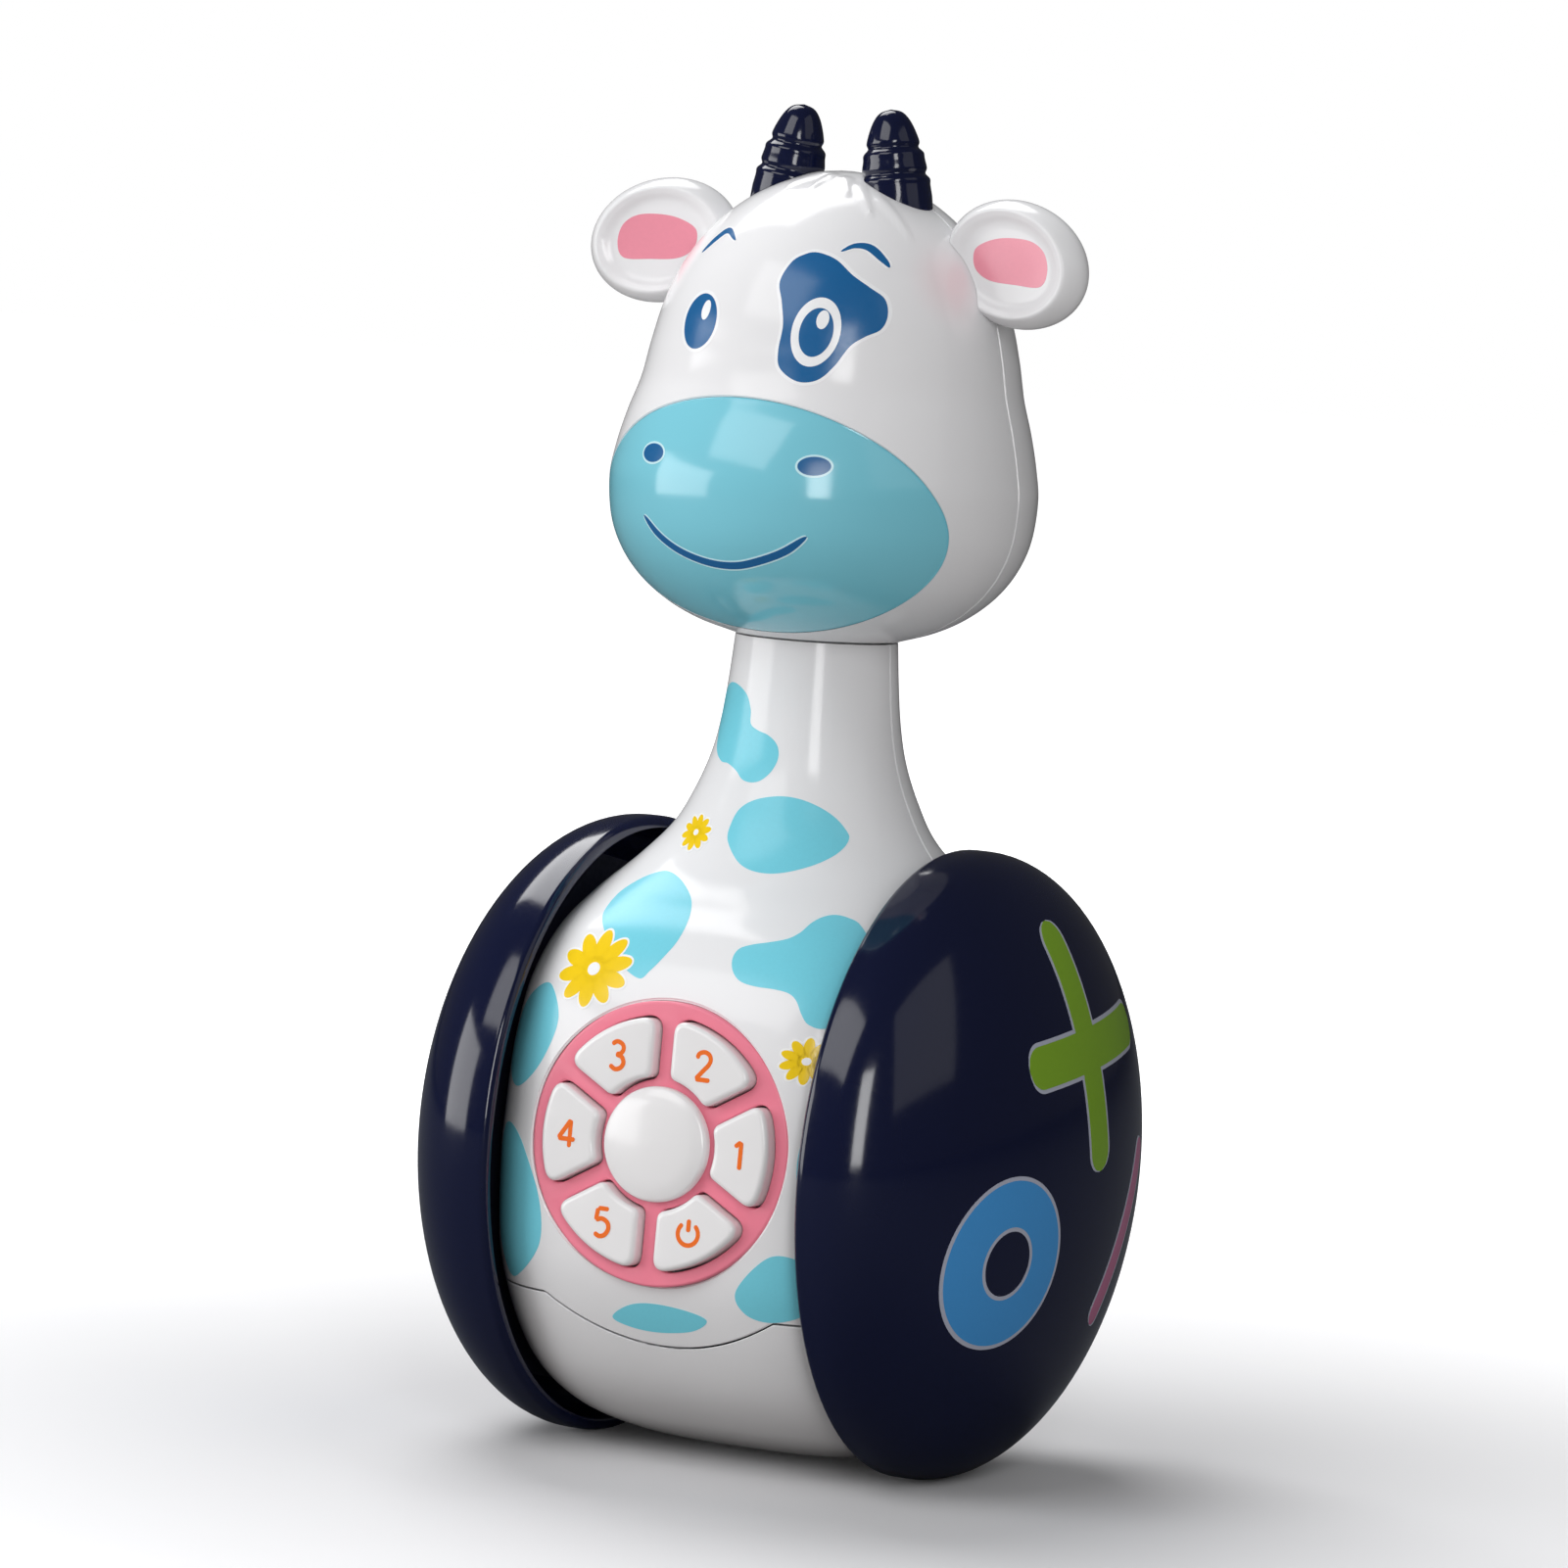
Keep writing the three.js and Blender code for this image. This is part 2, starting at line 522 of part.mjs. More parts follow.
// Body shells, base and battery door
function makeBody() {
  const outer = bodySolid(0);
  const shell = outer.subtract(bodyHollow(WALL));
  const skin = bodySolid(SKIN);
  const aboveSeam = (part) => part.subtract(belowSeam(GAP / 2));
  const bushHole = new THREE.CylinderGeometry(BUSH_RADIUS + GAP, BUSH_RADIUS + GAP, FAR, ROUND_SIDES);
  const axleHole = solidOf(bushHole.rotateZ(Math.PI / 2).translate(0, 0, AXLE_Z));

  // The pad's seat is a short tube inside the front half with a ledge.
  const padSeat = barIn(padFrame, PAD_SEAT_RADIUS, BOARD_TOP + GAP, FAR, OUTER_SIDES).intersect(skin);
  const padPocket = barIn(padFrame, PAD_RADIUS + GAP, -PAD_THICKNESS - GAP, FAR, OUTER_SIDES);
  const padBore = barIn(padFrame, PAD_BORE, BOARD_TOP, FAR, OUTER_SIDES);
  const hollowFront = shell.intersect(frontHalf).add(padSeat);
  const front = aboveSeam(hollowFront).subtract(padPocket).subtract(padBore).subtract(axleHole);
  addPiece('body_front', withFrontBosses(front, skin.intersect(frontHalf), BODY_SCREWS), white);

  // The back half has the speaker's seat and grille, and the opening for the battery door.
  const cupRadius = SPEAKER_RADIUS + GAP;
  const seatFoot = -SPEAKER_SINK - SPEAKER_DEPTH / 2;
  const seat = barIn(speakerFrame, cupRadius + WALL, seatFoot, FAR, ROUND_SIDES);
  const cup = barIn(speakerFrame, cupRadius, -FAR, -SPEAKER_SINK + GAP, ROUND_SIDES);
  const seatTube = seat.intersect(skin).subtract(cup).intersect(backHalf);
  const behind = shell.intersect(backHalf).add(seatTube);
  const grille = [[0, 0]];
  for (let k = 0; k < GRILLE_RING; k++) {
    const angle = (k * 2 * Math.PI) / GRILLE_RING;
    grille.push([GRILLE_PITCH * Math.cos(angle), GRILLE_PITCH * Math.sin(angle)]);
  }
  const pierced = grille.reduce((part, [x, y]) => {
    const hole = barIn(speakerFrame, GRILLE_HOLE_RADIUS, -SPEAKER_SINK, FAR, SMALL_SIDES, x, y);
    return part.subtract(hole);
  }, behind);
  const doorWidth = TRAY_HALF_WIDTH;
  const doorway = block([-doorWidth - GAP, 0, COVER_LOW - GAP], [doorWidth + GAP, FAR, COVER_HIGH + GAP]);
  const back = aboveSeam(pierced).subtract(doorway).subtract(axleHole);
  addPiece('body_back', withBackBosses(back, skin.intersect(backHalf), BODY_SCREWS), white);

  const door = block([-doorWidth, 0, COVER_LOW], [doorWidth, FAR, COVER_HIGH]);
  const screwSeat = bodyDepth(COVER_SCREW_Z) - WALL;
  const screwHole = barY(SCREW_RADIUS + GAP, 0, COVER_SCREW_Z, 0, FAR);
  const screwWell = barY(SCREW_HEAD_RADIUS + GAP, 0, COVER_SCREW_Z, screwSeat, FAR);
  const lugPad = barY(BOSS_RADIUS, 0, COVER_SCREW_Z, screwSeat - WALL, FAR).intersect(skin);
  const cover = shell.intersect(door).add(lugPad).subtract(screwHole).subtract(screwWell);
  addPiece('battery_cover', cover, white);
  addScrew('battery_cover_screw', 0, COVER_SCREW_Z, screwSeat, SCREW_LENGTH / 2);

  // The base is a bowl with two tabs that hook up behind the halves.
  const base = shell.intersect(belowSeam(-GAP / 2));
  const tabTop = SEAM_Z - WAVE_DEPTH + TAB_REACH;
  const tabFoot = tabTop - TAB_REACH - TAB_LENGTH;
  const tabLow = [-TAB_HALF_WIDTH, -FAR, tabFoot];
  const tabBox = block(tabLow, [TAB_HALF_WIDTH, FAR, tabTop]);
  const rootBox = block(tabLow, [TAB_HALF_WIDTH, FAR, tabTop - TAB_REACH - 2 * GAP]);
  const tabCore = bodyHollow(WALL + GAP + TAB_THICKNESS);
  const tabs = bodyHollow(WALL + GAP).intersect(tabBox).subtract(tabCore);
  const roots = bodySolid(SKIN).intersect(rootBox).subtract(tabCore);
  addPiece('body_base', base.add(roots.intersect(belowSeam(-GAP / 2))).add(tabs), white);

  const weightTop = FLOOR_GAP + WEIGHT_HEIGHT;
  const weightBox = block([-FAR, -WEIGHT_FRONT, -FAR], [FAR, WEIGHT_BACK, weightTop]);
  const roomLow = [-TAB_HALF_WIDTH - GAP, -FAR, tabFoot - GAP];
  const roomBox = block(roomLow, [TAB_HALF_WIDTH + GAP, FAR, tabTop + GAP]);
  const tabRoom = roomBox.subtract(bodyHollow(WALL + TAB_THICKNESS + 2 * GAP));
  const weight = bodyHollow(WALL + 2 * GAP).intersect(weightBox).subtract(tabRoom);
  addPiece('counterweight', weight, dark);

  BODY_SCREWS.forEach(([x, z], i) => addScrew(`body_screw_${i + 1}`, x, z, BOSS_FLOOR, SCREW_LENGTH));
}

// Battery tray, cells and contacts
function makeBatteries() {
  const inside = bodyHollow(WALL + GAP);
  const low = [-TRAY_HALF_WIDTH, TRAY_FRONT, CELL_Z - TRAY_HALF_HEIGHT];
  const body = block(low, [TRAY_HALF_WIDTH, FAR, CELL_Z + TRAY_HALF_HEIGHT]);
  const pocketHalf = TRAY_HALF_WIDTH - TRAY_WALL;
  let tray = body;
  for (let k = 0; k < CELL_COUNT; k++) {
    const z = CELL_Z + (k - (CELL_COUNT - 1) / 2) * CELL_PITCH;
    const reach = CELL_RADIUS + GAP;
    const trough = new THREE.CylinderGeometry(reach, reach, 2 * pocketHalf, ROUND_SIDES);
    const half = reach - TRAY_RIB / 2;
    const mouth = block([-pocketHalf, CELL_Y, z - half], [pocketHalf, FAR, z + half]);
    tray = tray.subtract(solidOf(trough.rotateZ(Math.PI / 2).translate(0, CELL_Y, z))).subtract(mouth);

    const profile = [
      [0, -CELL_LENGTH / 2],
      [CELL_RADIUS, -CELL_LENGTH / 2],
      [CELL_RADIUS, CELL_LENGTH / 2],
      [CELL_NUB_RADIUS, CELL_LENGTH / 2],
      [CELL_NUB_RADIUS, CELL_LENGTH / 2 + CELL_NUB],
      [0, CELL_LENGTH / 2 + CELL_NUB],
    ];
    const cell = addPiece(`battery_${k + 1}`, solidOf(turned(profile, ROUND_SIDES)), cellSleeve);
    cell.rotation.y = k % 2 === 0 ? Math.PI / 2 : -Math.PI / 2;
    cell.position.set(0, CELL_Y, z);
  }
  const slotLow = CELL_Z - TRAY_HALF_HEIGHT + TRAY_WALL;
  const slotHigh = CELL_Z + TRAY_HALF_HEIGHT - TRAY_WALL;
  for (const [side, name] of [[-1, 'battery_contact_left'], [1, 'battery_contact_right']]) {
    const outerX = side * pocketHalf;
    const innerX = side * (pocketHalf - CONTACT_THICKNESS - 2 * GAP);
    const slotX = [Math.min(outerX, innerX), Math.max(outerX, innerX)];
    const slot = block([slotX[0], CELL_Y - CELL_RADIUS, slotLow], [slotX[1], FAR, slotHigh]);
    tray = tray.subtract(slot);
    const plateLow = [slotX[0] + GAP, CELL_Y - CELL_RADIUS + GAP, slotLow + GAP];
    const plateHigh = [slotX[1] - GAP, CELL_Y + CELL_RADIUS / 2, slotHigh - GAP];
    addPiece(name, block(plateLow, plateHigh), steel);
  }
  const lugTop = CELL_Z + TRAY_HALF_HEIGHT + LUG_HEIGHT - GAP;
  const lugFront = CELL_Y - CELL_RADIUS / 2;
  const lugLow = [-LUG_HALF_WIDTH, lugFront, lugTop - LUG_HEIGHT - TRAY_WALL];
  const lug = block(lugLow, [LUG_HALF_WIDTH, FAR, lugTop]);
  const lugEnd = bodyDepth(COVER_SCREW_Z) - 2 * WALL - GAP;
  const lugRoom = block([-FAR, lugEnd, lugTop - LUG_HEIGHT + GAP], [FAR, FAR, FAR]);
  const pilot = barY(SCREW_RADIUS + GAP, 0, COVER_SCREW_Z, lugFront + WALL / 2, FAR);
  const whole = tray.add(lug.subtract(lugRoom)).subtract(pilot).intersect(inside);
  addPiece('battery_tray', whole, white);
}

// Outline of one button about +X: a sector with straight sides beside the spokes and rounded
// corners, grown all round by a given amount, and read counter-clockwise from the outer edge.
function buttonOutline(grow) {
  const inner = CAP_RADIUS + CAP_MARGIN - grow;
  const outer = PAD_RADIUS - PAD_RIM + grow;
  const spoke = BUTTON_SPOKE / 2 - grow;
  const outerCorner = BUTTON_CORNER + grow;
  const innerCorner = BUTTON_CORNER / 2 + grow / 2;
  const edge = (radius) => Math.PI / BUTTON_COUNT - Math.asin(spoke / radius);
  const at = (radius, angle) => new THREE.Vector2(radius * Math.cos(angle), radius * Math.sin(angle));
  const corner = (from, knee, to) => new THREE.QuadraticBezierCurve(from, knee, to).getPoints(2);
  const outerEnd = edge(outer) - outerCorner / outer;
  const innerEnd = edge(inner) - innerCorner / inner;
  const outerSide = at(outer - outerCorner, edge(outer - outerCorner));
  const innerSide = at(inner + innerCorner, edge(inner + innerCorner));
  const half = [
    at(outer, 0),
    at(outer, outerEnd / 2),
    ...corner(at(outer, outerEnd), at(outer, edge(outer)), outerSide),
    ...corner(innerSide, at(inner, edge(inner)), at(inner, innerEnd)),
    at(inner, 0),
  ];
  const mirrored = half.slice(1, -1).map(({ x, y }) => new THREE.Vector2(x, -y));
  return half.concat(mirrored.reverse());
}

// Layers of one outline on top of each other, each [outline, height], closed at both ends.
function stacked(layers) {
  const count = layers[0][0].length;
  const position = layers.flatMap(([outline, z]) => outline.flatMap(({ x, y }) => [x, y, z]));
  const index = [];
  for (let i = 0; i < layers.length - 1; i++) {
    for (let j = 0; j < count; j++) {
      const [a, b] = [i * count + j, i * count + ((j + 1) % count)];
      index.push(a, b, b + count, a, b + count, a + count);
    }
  }
  const last = (layers.length - 1) * count;
  for (const [a, b, c] of THREE.ShapeUtils.triangulateShape(layers[0][0], [])) index.push(a, c, b);
  for (const [a, b, c] of THREE.ShapeUtils.triangulateShape(layers.at(-1)[0], [])) {
    index.push(last + a, last + b, last + c);
  }
  const geometry = new THREE.BufferGeometry();
  geometry.setAttribute('position', new THREE.Float32BufferAttribute(position, 3));
  geometry.setIndex(index);
  return solidOf(geometry);
}

// Crown of the centre cap, in shares of its radius and of its rise
const CAP_CROWN = [[1, 0.3], [0.93, 0.57], [0.72, 0.82], [0.38, 0.96], [0, 1]];

// Button pad with its buttons, cap, rubber mat and circuit board, in the frame of the pad
function makePad() {
  const face = new THREE.Shape().absarc(0, 0, PAD_RADIUS, 0, 2 * Math.PI);
  face.holes.push(new THREE.Path().absarc(0, 0, CAP_STEM_RADIUS + GAP, 0, 2 * Math.PI));
  const turn = (k) => (k * 2 * Math.PI) / BUTTON_COUNT;
  const centre = new THREE.Vector2();
  for (let k = 0; k < BUTTON_COUNT; k++) {
    const hole = buttonOutline(GAP).map((point) => point.rotateAround(centre, turn(k)));
    face.holes.push(new THREE.Path(hole));
  }
  const plate = { depth: PAD_THICKNESS, bevelEnabled: false, curveSegments: OUTER_SIDES / 2 };
  const ring = new THREE.ExtrudeGeometry(face, plate).translate(0, 0, -PAD_THICKNESS);
  addPiece('button_ring', solidOf(ring), pink, padFrame);

  const button = stacked([
    [buttonOutline(BUTTON_FLANGE + GAP), FLANGE_BACK],
    [buttonOutline(BUTTON_FLANGE + GAP), FLANGE_TOP],
    [buttonOutline(0), FLANGE_TOP],
    [buttonOutline(0), BUTTON_RISE - BUTTON_BEVEL],
    [buttonOutline(-BUTTON_BEVEL), BUTTON_RISE],
  ]);
  for (let k = 0; k < BUTTON_COUNT; k++) {
    addPiece(`button_${k + 1}`, button, white, padFrame).rotation.z = turn(k);
  }

  const dome = [
    [0, FLANGE_TOP],
    [CAP_STEM_RADIUS, FLANGE_TOP],
    [CAP_STEM_RADIUS, GAP],
    [CAP_RADIUS, GAP],
    ...CAP_CROWN.map(([wide, high]) => [CAP_RADIUS * wide, CAP_RISE * high]),
  ];
  addPiece('centre_cap', solidOf(turned(dome, INNER_SIDES)), white, padFrame);

  const matRadius = PAD_BORE - GAP;
  const mat = new THREE.CylinderGeometry(matRadius, matRadius, MAT_THICKNESS, INNER_SIDES);
  let rubber = solidOf(mat.rotateX(Math.PI / 2).translate(0, 0, (MAT_TOP + MAT_BACK) / 2));
  const padReach = (PAD_RADIUS - PAD_RIM + CAP_RADIUS + CAP_MARGIN) / 2;
  for (let k = 0; k < BUTTON_COUNT; k++) {
    const knobHeight = MAT_PAD_RISE + MAT_THICKNESS / 2;
    const knob = new THREE.CylinderGeometry(MAT_PAD_RADIUS, MAT_PAD_RADIUS, knobHeight, SMALL_SIDES);
    knob.rotateX(Math.PI / 2).translate(padReach, 0, MAT_TOP + MAT_PAD_RISE - knobHeight / 2);
    rubber = rubber.add(solidOf(knob.rotateZ(turn(k))));
  }
  addPiece('button_mat', rubber, grey, padFrame);

  const boardRadius = PAD_BORE + PAD_LEDGE;
  const board = new THREE.CylinderGeometry(boardRadius, boardRadius, BOARD_THICKNESS, INNER_SIDES);
  board.rotateX(Math.PI / 2).translate(0, 0, BOARD_TOP - BOARD_THICKNESS / 2);
  addPiece('circuit_board', solidOf(board), green, padFrame);
}

// Loudspeaker, in the frame of its grille: magnet, basket, rim, cone and dust cap, in shares of
// its radius and of its depth behind the rim
const SPEAKER_PROFILE = [[0, 1], [0.6, 1], [0.6, 0.55], [1, 0.25], [1, 0], [0.85, 0], [0.3, 0.3], [0, 0.22]];

function makeSpeaker() {
  const profile = SPEAKER_PROFILE.map(([wide, deep]) => [
    SPEAKER_RADIUS * wide,
    -SPEAKER_SINK - SPEAKER_DEPTH * deep,
  ]);
  addPiece('speaker', solidOf(turned(profile, ROUND_SIDES)), dark, speakerFrame);
}

// Domes, hubs, caps and bushes on the two ends of the axle, drawn outwards along the local Z
function makeWheels() {
  const innerDepth = DOME_DEPTH - DOME_WALL;
  const innerRadius = WHEEL_RADIUS - DOME_WALL;
  const roomAt = (x) => innerRadius * Math.sqrt(1 - Math.max((x - DOME_X) / innerDepth, 0) ** 2);
  const flats = 1 / Math.cos(Math.PI / WHEEL_FACETS);
  const arc = (radius, depth, share) => {
    const angle = share * (Math.PI / 2);
    return [radius * Math.cos(angle), DOME_X + depth * Math.sin(angle)];
  };
  const lipShoulder = LIP_ROUND * (1 - Math.SQRT1_2);
  const dome = [
    [innerRadius, TREAD_X],
    [WHEEL_RADIUS - LIP_ROUND, LIP_X],
    [WHEEL_RADIUS - lipShoulder, LIP_X + lipShoulder],
    [WHEEL_RADIUS, TREAD_X],
  ];
  for (let k = 0; k <= DOME_STEPS; k++) {
    dome.push(arc(WHEEL_RADIUS, DOME_DEPTH, k / DOME_STEPS));
  }
  for (let k = DOME_INNER_STEPS; k >= 0; k--) {
    dome.push(arc(innerRadius, innerDepth, k / DOME_INNER_STEPS));
  }
  const shaped = dome.map(([radius, x]) => [Math.max(radius, 0) * flats, x]);
  shaped.push(shaped[0]);

  const tip = DOME_X + innerDepth;
  const axleEnd = tip - AXLE_END_GAP;
  const capStart = axleEnd + AXLE_END_GAP / 2 - AXLE_CAP_LENGTH;
  const hubStart = BELLY_HALF_WIDTH + BUSH_STAND + GAP;
  const plateX = BELLY_HALF_WIDTH + HUB_CLEARANCE;
  const plateEnd = plateX + HUB_PLATE;
  const bore = AXLE_RADIUS + GAP;
  const hub = [
    [bore, hubStart],
    [HUB_BOSS_RADIUS, hubStart],
    [HUB_BOSS_RADIUS, plateX],
    [roomAt(plateEnd) - GAP, plateX],
    [roomAt(plateEnd) - GAP, plateEnd],
    [HUB_BOSS_RADIUS, plateEnd],
    [HUB_BOSS_RADIUS, capStart - GAP],
    [bore, capStart - GAP],
    [bore, hubStart],
  ];
  const cap = [
    [bore, capStart],
    [AXLE_CAP_RADIUS, capStart],
    [AXLE_CAP_RADIUS, capStart + AXLE_CAP_LENGTH - AXLE_CAP_CROWN],
    [AXLE_RADIUS, capStart + AXLE_CAP_LENGTH],
    [0, capStart + AXLE_CAP_LENGTH],
    [0, axleEnd + GAP],
    [bore, axleEnd + GAP],
    [bore, capStart],
  ];
  const flankInside = BELLY_HALF_WIDTH - WALL - BUSH_SEAT;
  const bush = [
    [bore, flankInside - BUSH_FLANGE],
    [BUSH_RADIUS + BUSH_FLANGE, flankInside - BUSH_FLANGE],
    [BUSH_RADIUS + BUSH_FLANGE, flankInside],
    [BUSH_RADIUS, flankInside],
    [BUSH_RADIUS, BELLY_HALF_WIDTH + BUSH_STAND],
    [bore, BELLY_HALF_WIDTH + BUSH_STAND],
    [bore, flankInside - BUSH_FLANGE],
  ];
  const halfFacet = Math.PI / WHEEL_FACETS;
  for (const [side, label] of [[1, 'right'], [-1, 'left']]) {
    const end = new THREE.Group();
    end.position.z = AXLE_Z;
    end.rotation.y = (side * Math.PI) / 2;
    toy.add(end);
    addPiece(`wheel_dome_${label}`, solidOf(turned(shaped, WHEEL_FACETS, halfFacet)), navy, end);
    addPiece(`wheel_hub_${label}`, solidOf(turned(hub, INNER_SIDES)), grey, end);
    addPiece(`axle_cap_${label}`, solidOf(turned(cap, ROUND_SIDES)), steel, end);
    addPiece(`axle_bush_${label}`, solidOf(turned(bush, ROUND_SIDES)), grey, end);
  }
  const axle = addPiece('axle', solidOf(new THREE.CylinderGeometry(
    AXLE_RADIUS, AXLE_RADIUS, 2 * axleEnd, ROUND_SIDES,
  )), steel);
  axle.rotation.z = Math.PI / 2;
  axle.position.z = AXLE_Z;
}

// Head halves, muzzle, ears, horns and the collar on the neck

function muzzlePrism(grow) {
  const outline = new THREE.Shape();
  const middle = HEAD_FLOOR + MUZZLE_MIDDLE;
  const halfWidth = MUZZLE_HALF_WIDTH + grow;
  outline.absellipse(0, middle, halfWidth, MUZZLE_RISE + grow, 0, Math.PI);
  outline.absellipse(0, middle, halfWidth, MUZZLE_DROP + grow, Math.PI, 2 * Math.PI);
  return prismY(outline, -FAR, 0, ROUND_SIDES / 2);
}

function makeHead() {
  const shell = headSolid(0).subtract(headHollow(WALL));
  const skin = headSolid(SKIN);
  const collarBore = NECK_RADIUS - WALL - GAP;
  const throatHole = new THREE.CylinderGeometry(collarBore + GAP, collarBore + GAP, FAR, INNER_SIDES);
  const throat = solidOf(throatHole.rotateX(Math.PI / 2)).subtract(block(
    [-FAR, -FAR, HEAD_FLOOR + JAW_HEIGHT], [FAR, FAR, FAR],
  ));

  // The front half is open at the muzzle, with a ledge behind it that the insert rests on.
  const ledgeDepth = WALL + GAP + MUZZLE_LEDGE;
  const ledgeRing = muzzlePrism(MUZZLE_LEDGE).subtract(muzzlePrism(-MUZZLE_LEDGE));
  const ledge = headHollow(SKIN).subtract(headHollow(ledgeDepth)).intersect(ledgeRing);
  const pocket = muzzlePrism(GAP).subtract(headHollow(WALL + GAP));
  const opened = shell.subtract(muzzlePrism(GAP)).add(ledge.subtract(pocket));
  const front = opened.intersect(frontHalf).subtract(throat);
  addPiece('head_front', withFrontBosses(front, skin.intersect(frontHalf), HEAD_SCREWS), white);
  const back = shell.intersect(backHalf).subtract(throat);
  addPiece('head_back', withBackBosses(back, skin.intersect(backHalf), HEAD_SCREWS), white);
  HEAD_SCREWS.forEach(([x, z], i) => addScrew(`head_screw_${i + 1}`, x, z, BOSS_FLOOR, SCREW_LENGTH));

  const muzzle = shell.intersect(muzzlePrism(0)).intersect(frontHalf);
  addPiece('muzzle', muzzle.subtract(throat), blue);

  const flangeFoot = HEAD_FLOOR + ledgeDepth + 2 * GAP;
  const collar = [
    [collarBore - COLLAR_WALL, NECK_TOP - COLLAR_DEPTH],
    [collarBore, NECK_TOP - COLLAR_DEPTH],
    [collarBore, flangeFoot],
    [collarBore + COLLAR_FLANGE, flangeFoot],
    [collarBore + COLLAR_FLANGE, flangeFoot + COLLAR_WALL],
    [collarBore - COLLAR_WALL, flangeFoot + COLLAR_WALL],
    [collarBore - COLLAR_WALL, NECK_TOP - COLLAR_DEPTH],
  ];
  addPiece('neck_collar', solidOf(turned(collar, INNER_SIDES)), grey);

  const clearHead = headSolid(-GAP);
  makeEars(clearHead);
  makeHorns(clearHead);
}

function makeEars(clearHead) {
  const outline = new THREE.Shape();
  outline.absellipse(0, 0, EAR_HALF_LENGTH - EAR_RIM, EAR_HALF_HEIGHT - EAR_RIM, 0, 2 * Math.PI);
  const ear = new THREE.ExtrudeGeometry(outline, {
    depth: EAR_THICKNESS - 2 * EAR_RIM,
    bevelSize: EAR_RIM,
    bevelThickness: EAR_RIM,
    bevelSegments: 2,
    curveSegments: OUTER_SIDES / 3,
  }).translate(0, 0, EAR_RIM - EAR_THICKNESS / 2);
  const dish = new THREE.SphereGeometry(1, ROUND_SIDES, SMALL_SIDES).rotateX(Math.PI / 2);
  dish.scale(EAR_HALF_LENGTH - EAR_RIM, EAR_HALF_HEIGHT - EAR_RIM, EAR_DISH);
  dish.translate(0, 0, EAR_THICKNESS / 2);
  const paddle = solidOf(ear).subtract(solidOf(dish));
  for (const [side, label] of [[1, 'right'], [-1, 'left']]) {
    const turn = new THREE.Euler(Math.PI / 2, side * EAR_DROOP, -side * EAR_TURN, 'ZYX');
    const frame = new THREE.Matrix4().makeRotationFromEuler(turn);
    frame.setPosition(side * (HEAD_RADIUS - EAR_INSET), EAR_Y, HEAD_TOP - EAR_DROP);
    const placed = place(geometryOf(paddle), frame);
    addPiece(`ear_${label}`, placed.subtract(clearHead), white);
  }
}

// Horns: the grooves round them and the curve of the tip, in shares of the radius and of the length
const HORN_GROOVES = [[0.93, 0.26], [0.78, 0.56]];
const HORN_TIP = [[0.6, 0.81], [0.34, 0.95], [0, 1]];

function makeHorns(clearHead) {
  const profile = [
    [0, -HORN_ROOT],
    [HORN_RADIUS + HORN_FLARE, -HORN_ROOT],
    [HORN_RADIUS, 0],
  ];
  for (const [wide, high] of HORN_GROOVES) {
    const [radius, height] = [HORN_RADIUS * wide, HORN_LENGTH * high];
    profile.push([radius, height - HORN_GROOVE]);
    profile.push([radius - HORN_GROOVE, height]);
    profile.push([radius, height + HORN_GROOVE]);
  }
  for (const [wide, high] of HORN_TIP) profile.push([HORN_RADIUS * wide, HORN_LENGTH * high]);
  const horn = turned(profile, ROUND_SIDES);
  for (const [side, label] of [[1, 'right'], [-1, 'left']]) {
    const frame = new THREE.Matrix4().makeRotationY(-side * HORN_LEAN);
    frame.setPosition(side * HORN_X, HORN_Y, HEAD_TOP + HORN_TIP_RISE - HORN_LENGTH);
    addPiece(`horn_${label}`, place(horn, frame).subtract(clearHead), navy);
  }
}

makeBody();
makeBatteries();
makePad();
makeSpeaker();
makeWheels();
makeHead();

export default toy;
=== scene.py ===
"""Tumbler toy: a calf on a weighted round belly that hangs between two dome wheels.

Smooth shells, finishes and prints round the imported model. Sizes are in millimetres in the model's
frame: +Z up, the face looks along -Y, and the axle lies along X. Meshes are written in metres.
"""
from functools import partial
from math import pi, radians

import bmesh
import bpy
import numpy as np
from mathutils import Matrix, Vector


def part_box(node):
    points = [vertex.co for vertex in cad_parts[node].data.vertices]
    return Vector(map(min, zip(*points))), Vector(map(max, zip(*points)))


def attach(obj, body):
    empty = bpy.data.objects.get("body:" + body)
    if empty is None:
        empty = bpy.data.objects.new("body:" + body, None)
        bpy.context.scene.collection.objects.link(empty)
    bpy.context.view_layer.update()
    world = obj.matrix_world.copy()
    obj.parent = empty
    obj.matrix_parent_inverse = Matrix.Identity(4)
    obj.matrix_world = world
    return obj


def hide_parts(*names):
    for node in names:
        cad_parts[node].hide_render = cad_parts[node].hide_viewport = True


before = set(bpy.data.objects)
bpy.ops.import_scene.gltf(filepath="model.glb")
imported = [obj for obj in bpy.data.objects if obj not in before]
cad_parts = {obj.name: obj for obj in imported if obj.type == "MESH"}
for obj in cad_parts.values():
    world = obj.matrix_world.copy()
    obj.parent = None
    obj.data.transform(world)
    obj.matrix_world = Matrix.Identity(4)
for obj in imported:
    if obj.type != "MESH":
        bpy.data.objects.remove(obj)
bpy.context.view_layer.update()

MM = 0.001
HANDS = ((1, "right"), (-1, "left"))

# Shells and fits
WALL = 1.6
GAP = 0.3
SKIN = 0.5  # how far a boss ends under the outside of its shell
SEAM_ROUND = 0.32  # rounding of a shell's edge along a parting line
SEAM_OVERRUN = 2.0  # how far the rounding of a side seam runs past its shell
WELD = 0.002  # points closer than this are one point
HAIRLINE = 0.06  # closest fit shown between fixed pieces
LIP_INSET = 0.8  # tongue of a back half, under the outside of the front half
LIP_REACH = 1.2
FAR = 900.0  # beyond every piece

